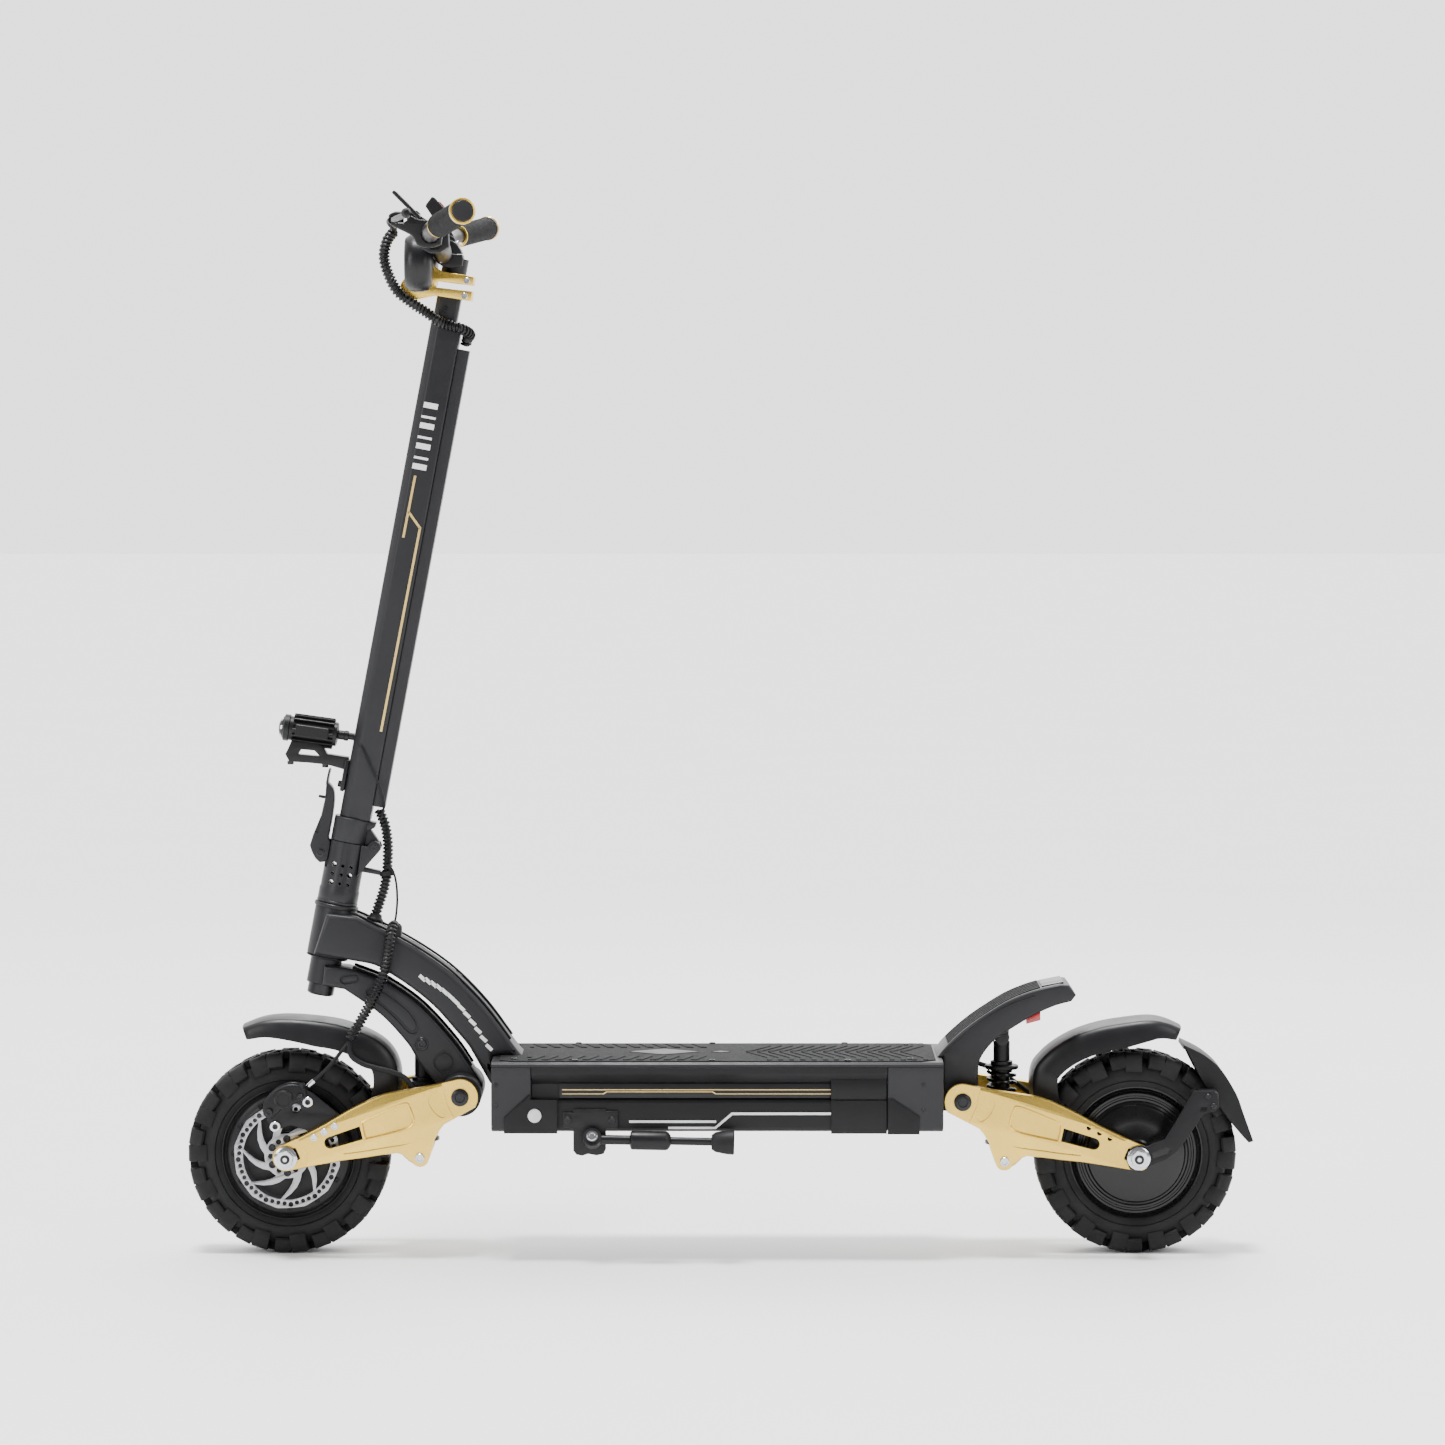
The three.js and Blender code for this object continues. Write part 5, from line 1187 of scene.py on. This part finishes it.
# ---- Twin headlamps and their bracket -----------------------------------------------------------
for side_name, side in (("left", 1), ("right", -1)):
    turn = (lambda bm: bm) if side > 0 else mirrored
    forward = facing((379, 62, 1250), (1, 0, 0))
    shell = turned([(0, -17), (24, -17), (30, -15.4), (34.4, -11), (36, -5), (36, 5), (35.2, 10.4), (32.4, 14.8),
                    (30.6, 16.6),
                    (29.4, 17), (28.2, 16.4), (28.2, 13), (0, 13)], forward, steps=80)
    groove = turned([(35.7, 0.4), (36.2, 0.8), (36.2, 2), (35.7, 2.4), (35.7, 0.4)], forward, steps=80)
    place_piece(f"lamp_shell_{side_name}", turn(gather(shell, groove)), satin_plastic, "stem", f"lamp_{side_name}")
    lens = turned([(0, 14.2), (26.4, 14.2), (26.4, 15.2), (20, 16.3), (0, 16.8)], forward, steps=64)
    cell = turned([(0, 0), (7.2, 0), (8.4, 2.2), (7.6, 2.2), (6.2, 0.8), (0, 0.8)], steps=24)
    cups = repeated(cell, [forward @ at(15.5 * math.cos(math.pi / 2 * k), 15.5 * math.sin(math.pi / 2 * k), 12.6)
                           for k in range(4)])
    place_piece(f"lamp_lens_{side_name}", turn(gather(lens, cups)), lamp_glass, "stem")
bracket_edge = ([(312, 1233)] + plane_line([(314, 1233.6), (330, 1237), (345, 1239), (357, 1243), (366, 1252)], 4)
                + [(386, 1240)] + plane_line([(398, 1233), (404, 1224), (402, 1215), (394, 1208), (385, 1205)], 4)
                + [(362, 1210), (316, 1203), (314, 1215), (356, 1219.8)] + arc(357, 1224, 4.2, -80, 90, 8)
                + [(356, 1228.2), (313, 1222.6)])
bracket_body = carved(slab(bracket_edge, -25, 25, 0.9, rounds=2),
                      turned([(0, 700), (16.6, 700), (16.6, 840), (0, 840)], STEER, steps=56))
place_piece("lamp_bracket_plate", bracket_body, gold, "stem", "lamp_bracket")
bracket_heads = [at(x, 25, z) @ ACROSS for x, z in ((321, 1228.6), (324, 1209.4))]
bracket_heads += [at(x, -25, z) @ Matrix.Rotation(math.radians(90), 4, "X") for x, z in ((321, 1228.6),
        (324, 1209.4))]
place_piece("lamp_bracket_screws", repeated(cap_screw(4, 2.2), bracket_heads), chrome, "stem")

# ---- Spotlight in front of the stem ---------------------------------------------------------------
aimed = facing((478, 0, 655), (0.99, 0, 0.139))
spot_body = turned([(0, 0), (5.4, 0), (6, 0.8), (6, 8), (13, 9), (15.4, 10), (15.4, 70), (17, 71), (17, 77), (15.6,
        78),
                    (15, 77), (15, 74), (0, 74)], aimed, steps=64)
fins = []
for k in range(16):
    angle = 2 * math.pi * k / 16
    fins.append(Matrix.Rotation(angle, 4, "Z"))
fin = block((14.6, -1.0, 14), (19.6, 1.0, 66), 0.4, 1)
ribs = repeated(fin, [aimed @ turn for turn in fins])
upper = repeated(block((15, -7, 20), (20.6, 7, 62), 0.8, 1),
                 [aimed @ Matrix.Rotation(math.radians(a), 4, "Z") for a in (0, 180)])
gland = turned([(6, -11.6), (4.6, -11.6), (4.6, -5), (6.6, -4.4), (6.6, 0.2), (0, 0.2)], aimed, steps=28)
bracket = slab([(473, 624), (473, 628), (500, 632), (506, 642), (512, 646), (545, 649), (549, 640), (553, 632), (548,
        622.6),
                (524, 621), (500, 618.6), (478, 612.4)], -10, 10, 0.8,
               [[(509, 629), (537, 631.6), (533, 638), (516, 636.4)]])
stem_clamp = gather(block((16.8, -14, 142), (22, 14, 182), 1.6), place=STEER)
place_piece("spotlight_body", gather(spot_body, ribs, upper, gland, bracket, stem_clamp), black_metal, "stem",
            "lower_light")
nose = turned([(0, 73), (15.2, 73), (15.2, 75), (13.6, 79), (9.4, 82.6), (4.6, 84), (0, 84.4)], aimed, steps=56)
place_piece("spotlight_nose", nose, satin_plastic, "stem")
beads = [aimed @ Matrix.Rotation(math.radians(a), 4, "Z") @ at(11, 0, 79.6) for a in range(0, 360, 60)]
place_piece("spotlight_lens", repeated(turned([(0, -1), (2.6, -1), (2.6, 1.2), (1.8, 2.2), (0, 2.6)], steps=20),
                                       beads),
            lamp_glass, "stem")
spot_heads = [facing((547, 0, 622.8), (0, 0, -1)), facing((503, 0, 619), (0.05, 0, -1))]
clamp_spots = [STEER @ at(22, 0, up) @ Matrix.Rotation(math.radians(90), 4, "Y") for up in (150, 173)]
place_piece("spotlight_screws", repeated(cap_screw(4.2, 4.4), spot_heads + clamp_spots), dark_steel, "stem")
spot_wire = [(467, 3, 653), (460, 16, 646), (455, 22.6, 640), (444, 24.4, 615), (434, 24.6, 595), (427, 22, 572),
             (429.6, 12, 560),
             (431.6, 7.4, 553)]
place_piece("spotlight_wire", hose(spot_wire, 1.5, 3, 8), soft_rubber, "stem")

# ---- Fenders and the rear flap ------------------------------------------------------------------


def fender_shell(crown, section, centre, steps=6):
    """A crowned strip drawn along a side curve; the section lists (across, drop towards the wheel)."""
    route = smooth_line([(x, 0, z) for x, z in crown], steps)
    bm = bmesh.new()
    rows = []
    for k, point in enumerate(route):
        before, after = route[max(k - 1, 0)], route[min(k + 1, len(route) - 1)]
        run = (after - before).normalized()
        out = Vector((-run.z, 0, run.x))
        if out.dot(point - Vector((centre[0], 0, centre[1]))) < 0:
            out = -out
        tip = min(1.0, (len(route) - 1 - k) / (0.3 * len(route)))
        narrow, deep = 0.8 + 0.2 * tip ** 0.5, 0.5 + 0.5 * tip
        rows.append([bm.verts.new(point + Vector((0, across * narrow, 0)) - out * drop * deep) for across,
                     drop in section])
    for first, second in zip(rows, rows[1:]):
        for k in range(len(section) - 1):
            bm.faces.new((first[k], first[k + 1], second[k + 1], second[k]))
    bmesh.ops.recalc_face_normals(bm, faces=bm.faces)
    bmesh.ops.solidify(bm, geom=bm.faces, thickness=2.2)
    bmesh.ops.recalc_face_normals(bm, faces=bm.faces)
    return bm


front_crown = [(413, 180), (407, 210), (408.6, 238), (419.6, 260), (439, 276), (470, 289.4), (500, 296.4), (545,
        300.4),
               (580, 298), (608, 288)]
rear_crown = [(-392, 188), (-389, 213), (-392, 236), (-403, 251.4), (-420, 266), (-445, 280), (-475, 290), (-505,
        295.6),
              (-540, 299), (-562, 295.4), (-581, 287)]
half_section = [(0, 0), (12, 0.2), (22, 1.2), (29, 3), (32.4, 3.6), (34.6, 5), (37.4, 9), (40, 15), (41.8, 23), (43,
        34)]
fender_section = [(-a, d) for a, d in reversed(half_section[1:])] + half_section
place_piece("front_fender_shell", fender_shell(front_crown, fender_section, (549.1, 127.5)), satin_plastic,
            "front_swingarm",
            "front_fender")
place_piece("rear_fender_shell", fender_shell(rear_crown, fender_section, (-523.1, 127.5)), satin_plastic,
            "rear_swingarm",
            "rear_fender")

flap_out = plane_line([(-583, 266), (-600, 258), (-613, 250), (-628, 237), (-640, 220), (-651, 200), (-658, 180),
                       (-666, 158), (-671, 144)], 4)
flap_in = plane_line([(-667, 143), (-661, 158), (-654, 178), (-646, 198), (-636, 216.6), (-624, 233), (-610, 246),
                      (-596, 254.6), (-582, 261)], 4)
flap = slab(flap_out + flap_in, -41, 41, 1.2)
skirt_in = plane_line([(-665, 142), (-655, 153), (-640, 171), (-628, 188), (-616, 205), (-602, 228), (-593, 246)], 4)
skirts = [slab(flap_out + skirt_in, low, high, 1.0) for low, high in ((40.5, 44), (-44, -40.5))]
strut_edge = [(-507, 127), (-509, 135), (-515, 141), (-523, 143.5), (-534, 143), (-556, 152), (-566, 168), (-592,
        213), (-617, 213),
              (-622, 208), (-624, 192), (-618, 187), (-604, 184), (-586, 156), (-572, 137), (-558, 126), (-540, 119),
              (-523, 111),
              (-512, 114)]
strut_holes = [[(-541, 127), (-560, 133), (-563, 139), (-558, 142), (-540, 134)], [(-600, 184.6 + 3), (-607, 187),
        (-610, 197), (-603, 196)],
               ring(-523.1, 127.5, 8.6, 28)]
struts = []
for low, high in ((80.3, 83.6), (-83.6, -80.3)):
    struts.append(slab(strut_edge, low, high, 0.7, strut_holes))
wings = [block((-623, 43, 191), (-599, 83.4, 211), 3, 3), block((-623, -83.4, 191), (-599, -43, 211), 3, 3)]
place_piece("flap_shell", gather(flap, *skirts), black_plastic, "rear_swingarm", "rear_mudguard")
place_piece("flap_struts", gather(*struts, *wings), black_plastic, "rear_swingarm")
flap_heads = [at(x, 83.6, z) @ ACROSS for x, z in ((-610, 206), (-617, 194))]
flap_heads += [at(x, -83.6, z) @ Matrix.Rotation(math.radians(90), 4, "X") for x, z in ((-610, 206), (-617, 194))]
place_piece("flap_screws", repeated(cap_screw(3.4, 2), flap_heads), dark_steel, "rear_swingarm")

# ---- Wrapped cable looms and single lines -----------------------------------------------------------
UPPER = [(411, 24, 1291), (420, 31, 1279), (424, 36, 1260), (420, 38, 1240), (408, 38, 1216), (390, 36, 1201), (372,
        32, 1189),
         (352, 30, 1176), (330, 33, 1169), (318, 19, 1162), (321.6, 4, 1155.5), (323.8, 0, 1148)]
FOLD = [(434.9, 0, 560.4), (431, 0.5, 551), (427, 2, 540), (424, 4, 520), (424, 5, 500), (425, 6, 481)]
NECK = [(425, 6, 479.8), (429, 7, 460), (435, 8, 442), (440, 9, 426.5)]
FORK = [(414, 22, 414), (416, 33, 416), (419, 44, 404), (423, 46, 378), (429, 46, 352), (441, 46, 326), (456, 47,
        298), (470, 51, 274)]


def wrapped(route, core=4.6, wire=1.75, pitch=4.9):
    """A cable loom in a spiral sleeve."""
    return gather(hose(route, core, 3, 8), hose(winding(route, core + 0.7, pitch), wire, 1, smooth=False))


place_piece("upper_loom_wrap", wrapped(UPPER, 4.9, 1.8), cable_wrap, "stem", "upper_loom")
for name, route, ends in (("fold_loom", FOLD, ("stem", "steerer")), ("neck_loom", NECK, ("steerer", "frame")),
                          ("fork_loom", FORK, ("frame", "steerer"))):
    loom = place_piece(f"{name}_wrap", wrapped(route), cable_wrap, None, name)
    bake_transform(loom)
clip_ring = turned([(6.2, -3), (9, -3), (9.6, -2.4), (9.6, 2.4), (9, 3), (6.2, 3), (6.2, -3)], facing((425, 6, 480.4),
        (0.1, 0, 1)), steps=32)
place_piece("loom_clip_ring", clip_ring, soft_rubber, "steerer")
neck_gland = turned([(6, 0), (10, 0), (10.6, 1), (10.6, 4), (8.4, 6), (7.4, 10), (6, 10), (6, 0)],
                    facing((441, 9, 419.4), (-0.25, -0.05, 1)), steps=32)
side_gland = turned([(5.6, -8), (8.6, -8), (9, -7), (9, 3), (7.6, 5), (5.6, 5), (5.6, -8)], facing((414, 24, 411.6),
        (0, 0.4, 1)), steps=32)
place_piece("neck_cable_glands", gather(neck_gland, side_gland), soft_rubber, "frame")
lines_start = (471.5, 51.3, 270.5)
brake_line = hose([lines_start, (480, 55, 260), (492, 60, 245), (507, 62, 230), (521, 60, 217.5)], 2.4, 3, 8)
motor_line = hose([lines_start, (468, 54, 254), (454, 56, 244), (438, 57, 239), (418, 57, 234), (400, 57, 226), (388,
        57, 208)], 3.4, 3, 8)
place_piece("front_line_pair", gather(brake_line, motor_line), soft_rubber, "front_swingarm", "front_lines")
ferrule = turned([(2.5, 0), (3.6, 0), (3.6, 10), (3, 12), (2.5, 12), (2.5, 0)], facing((514, 61.4, 223.6),
        (0.72, -0.1, -0.66)), steps=24)
place_piece("front_hose_ferrule", ferrule, chrome, "front_swingarm")
rear_route = [(-277.6, -58, 234), (-300, -58, 235), (-330, -58, 230), (-358, -57, 218), (-384, -57, 200), (-404, -57,
        184)]
rear_line = place_piece("rear_motor_line", hose(rear_route, 3.2, 3, 8), soft_rubber, None, "rear_lines")
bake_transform(rear_line)
wire_loop = [(426, 13, 492), (418, 14, 486), (413, 15, 470), (411.6, 16, 448), (413, 18, 428), (415.6, 21, 416)]
loop = place_piece("thin_wire_loop", hose(wire_loop, 1.4, 3, 8), soft_rubber, None)
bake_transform(loop)

# ---- Kept nodes: inside pieces ----------------------------------------------------------------------
for name, finish in (("battery_pack", cell_wrap), ("motor_controller", black_metal)):
    nodes[name].data.materials.clear()
    nodes[name].data.materials.append(finish)

# ---- Floor and light --------------------------------------------------------------------------------
floor_finish = Finish("pale_floor", "graphite_metal", (0.9, 0.9, 0.9), 0.0, 0.6).drift(3, 0.01).material
floor_bm = bmesh.new()
bmesh.ops.create_grid(floor_bm, x_segments=1, y_segments=1, size=30.0)
floor_mesh = bpy.data.meshes.new("floor")
floor_bm.to_mesh(floor_mesh)
floor_bm.free()
floor_mesh.materials.append(floor_finish)
floor = bpy.data.objects.new("floor", floor_mesh)
floor.location = (0, 0, -0.0005)
bpy.context.scene.collection.objects.link(floor)

world = bpy.data.worlds.new("studio")
bpy.context.scene.world = world
world.use_nodes = True
air = world.node_tree
heading = air.nodes.new("ShaderNodeSeparateXYZ")
wall = air.nodes.new("ShaderNodeMapRange")
wall.interpolation_type = "SMOOTHSTEP"
for socket, value in (("From Min", 0.35), ("From Max", -0.15), ("To Min", 0.3), ("To Max", 2.3)):
    wall.inputs[socket].default_value = value
air.links.new(air.nodes.new("ShaderNodeTexCoord").outputs["Generated"], heading.inputs["Vector"])
air.links.new(heading.outputs["Y"], wall.inputs["Value"])
air.links.new(wall.outputs["Result"], air.nodes["Background"].inputs["Strength"])
air.nodes["Background"].inputs["Color"].default_value = (1.0, 1.0, 1.0, 1)


def aim(lamp, place, toward):
    lamp.location = place
    lamp.rotation_euler = (Vector(toward) - Vector(place)).to_track_quat("-Z", "Y").to_euler()
    bpy.context.scene.collection.objects.link(lamp)


def softbox(name, place, toward, width, height, power):
    data = bpy.data.lights.new(name, "AREA")
    data.shape = "RECTANGLE"
    data.size = width
    data.size_y = height
    data.energy = power
    aim(bpy.data.objects.new(name, data), place, toward)


overhead = bpy.data.lights.new("overhead", "SUN")
overhead.energy = 4.6
overhead.angle = math.radians(14)
aim(bpy.data.objects.new("overhead", overhead), (0.25, 0.25, 4.0), (0, 0, 0))
softbox("side_light", (2.4, 2.4, 1.9), (0.2, 0, 0.5), 1.0, 2.0, 55)
softbox("rear_light", (-2.4, 2.2, 2.2), (-0.2, 0, 0.5), 1.0, 2.0, 45)
softbox("back_light", (-0.6, -3.2, 2.6), (0, 0, 0.5), 2.6, 1.4, 60)
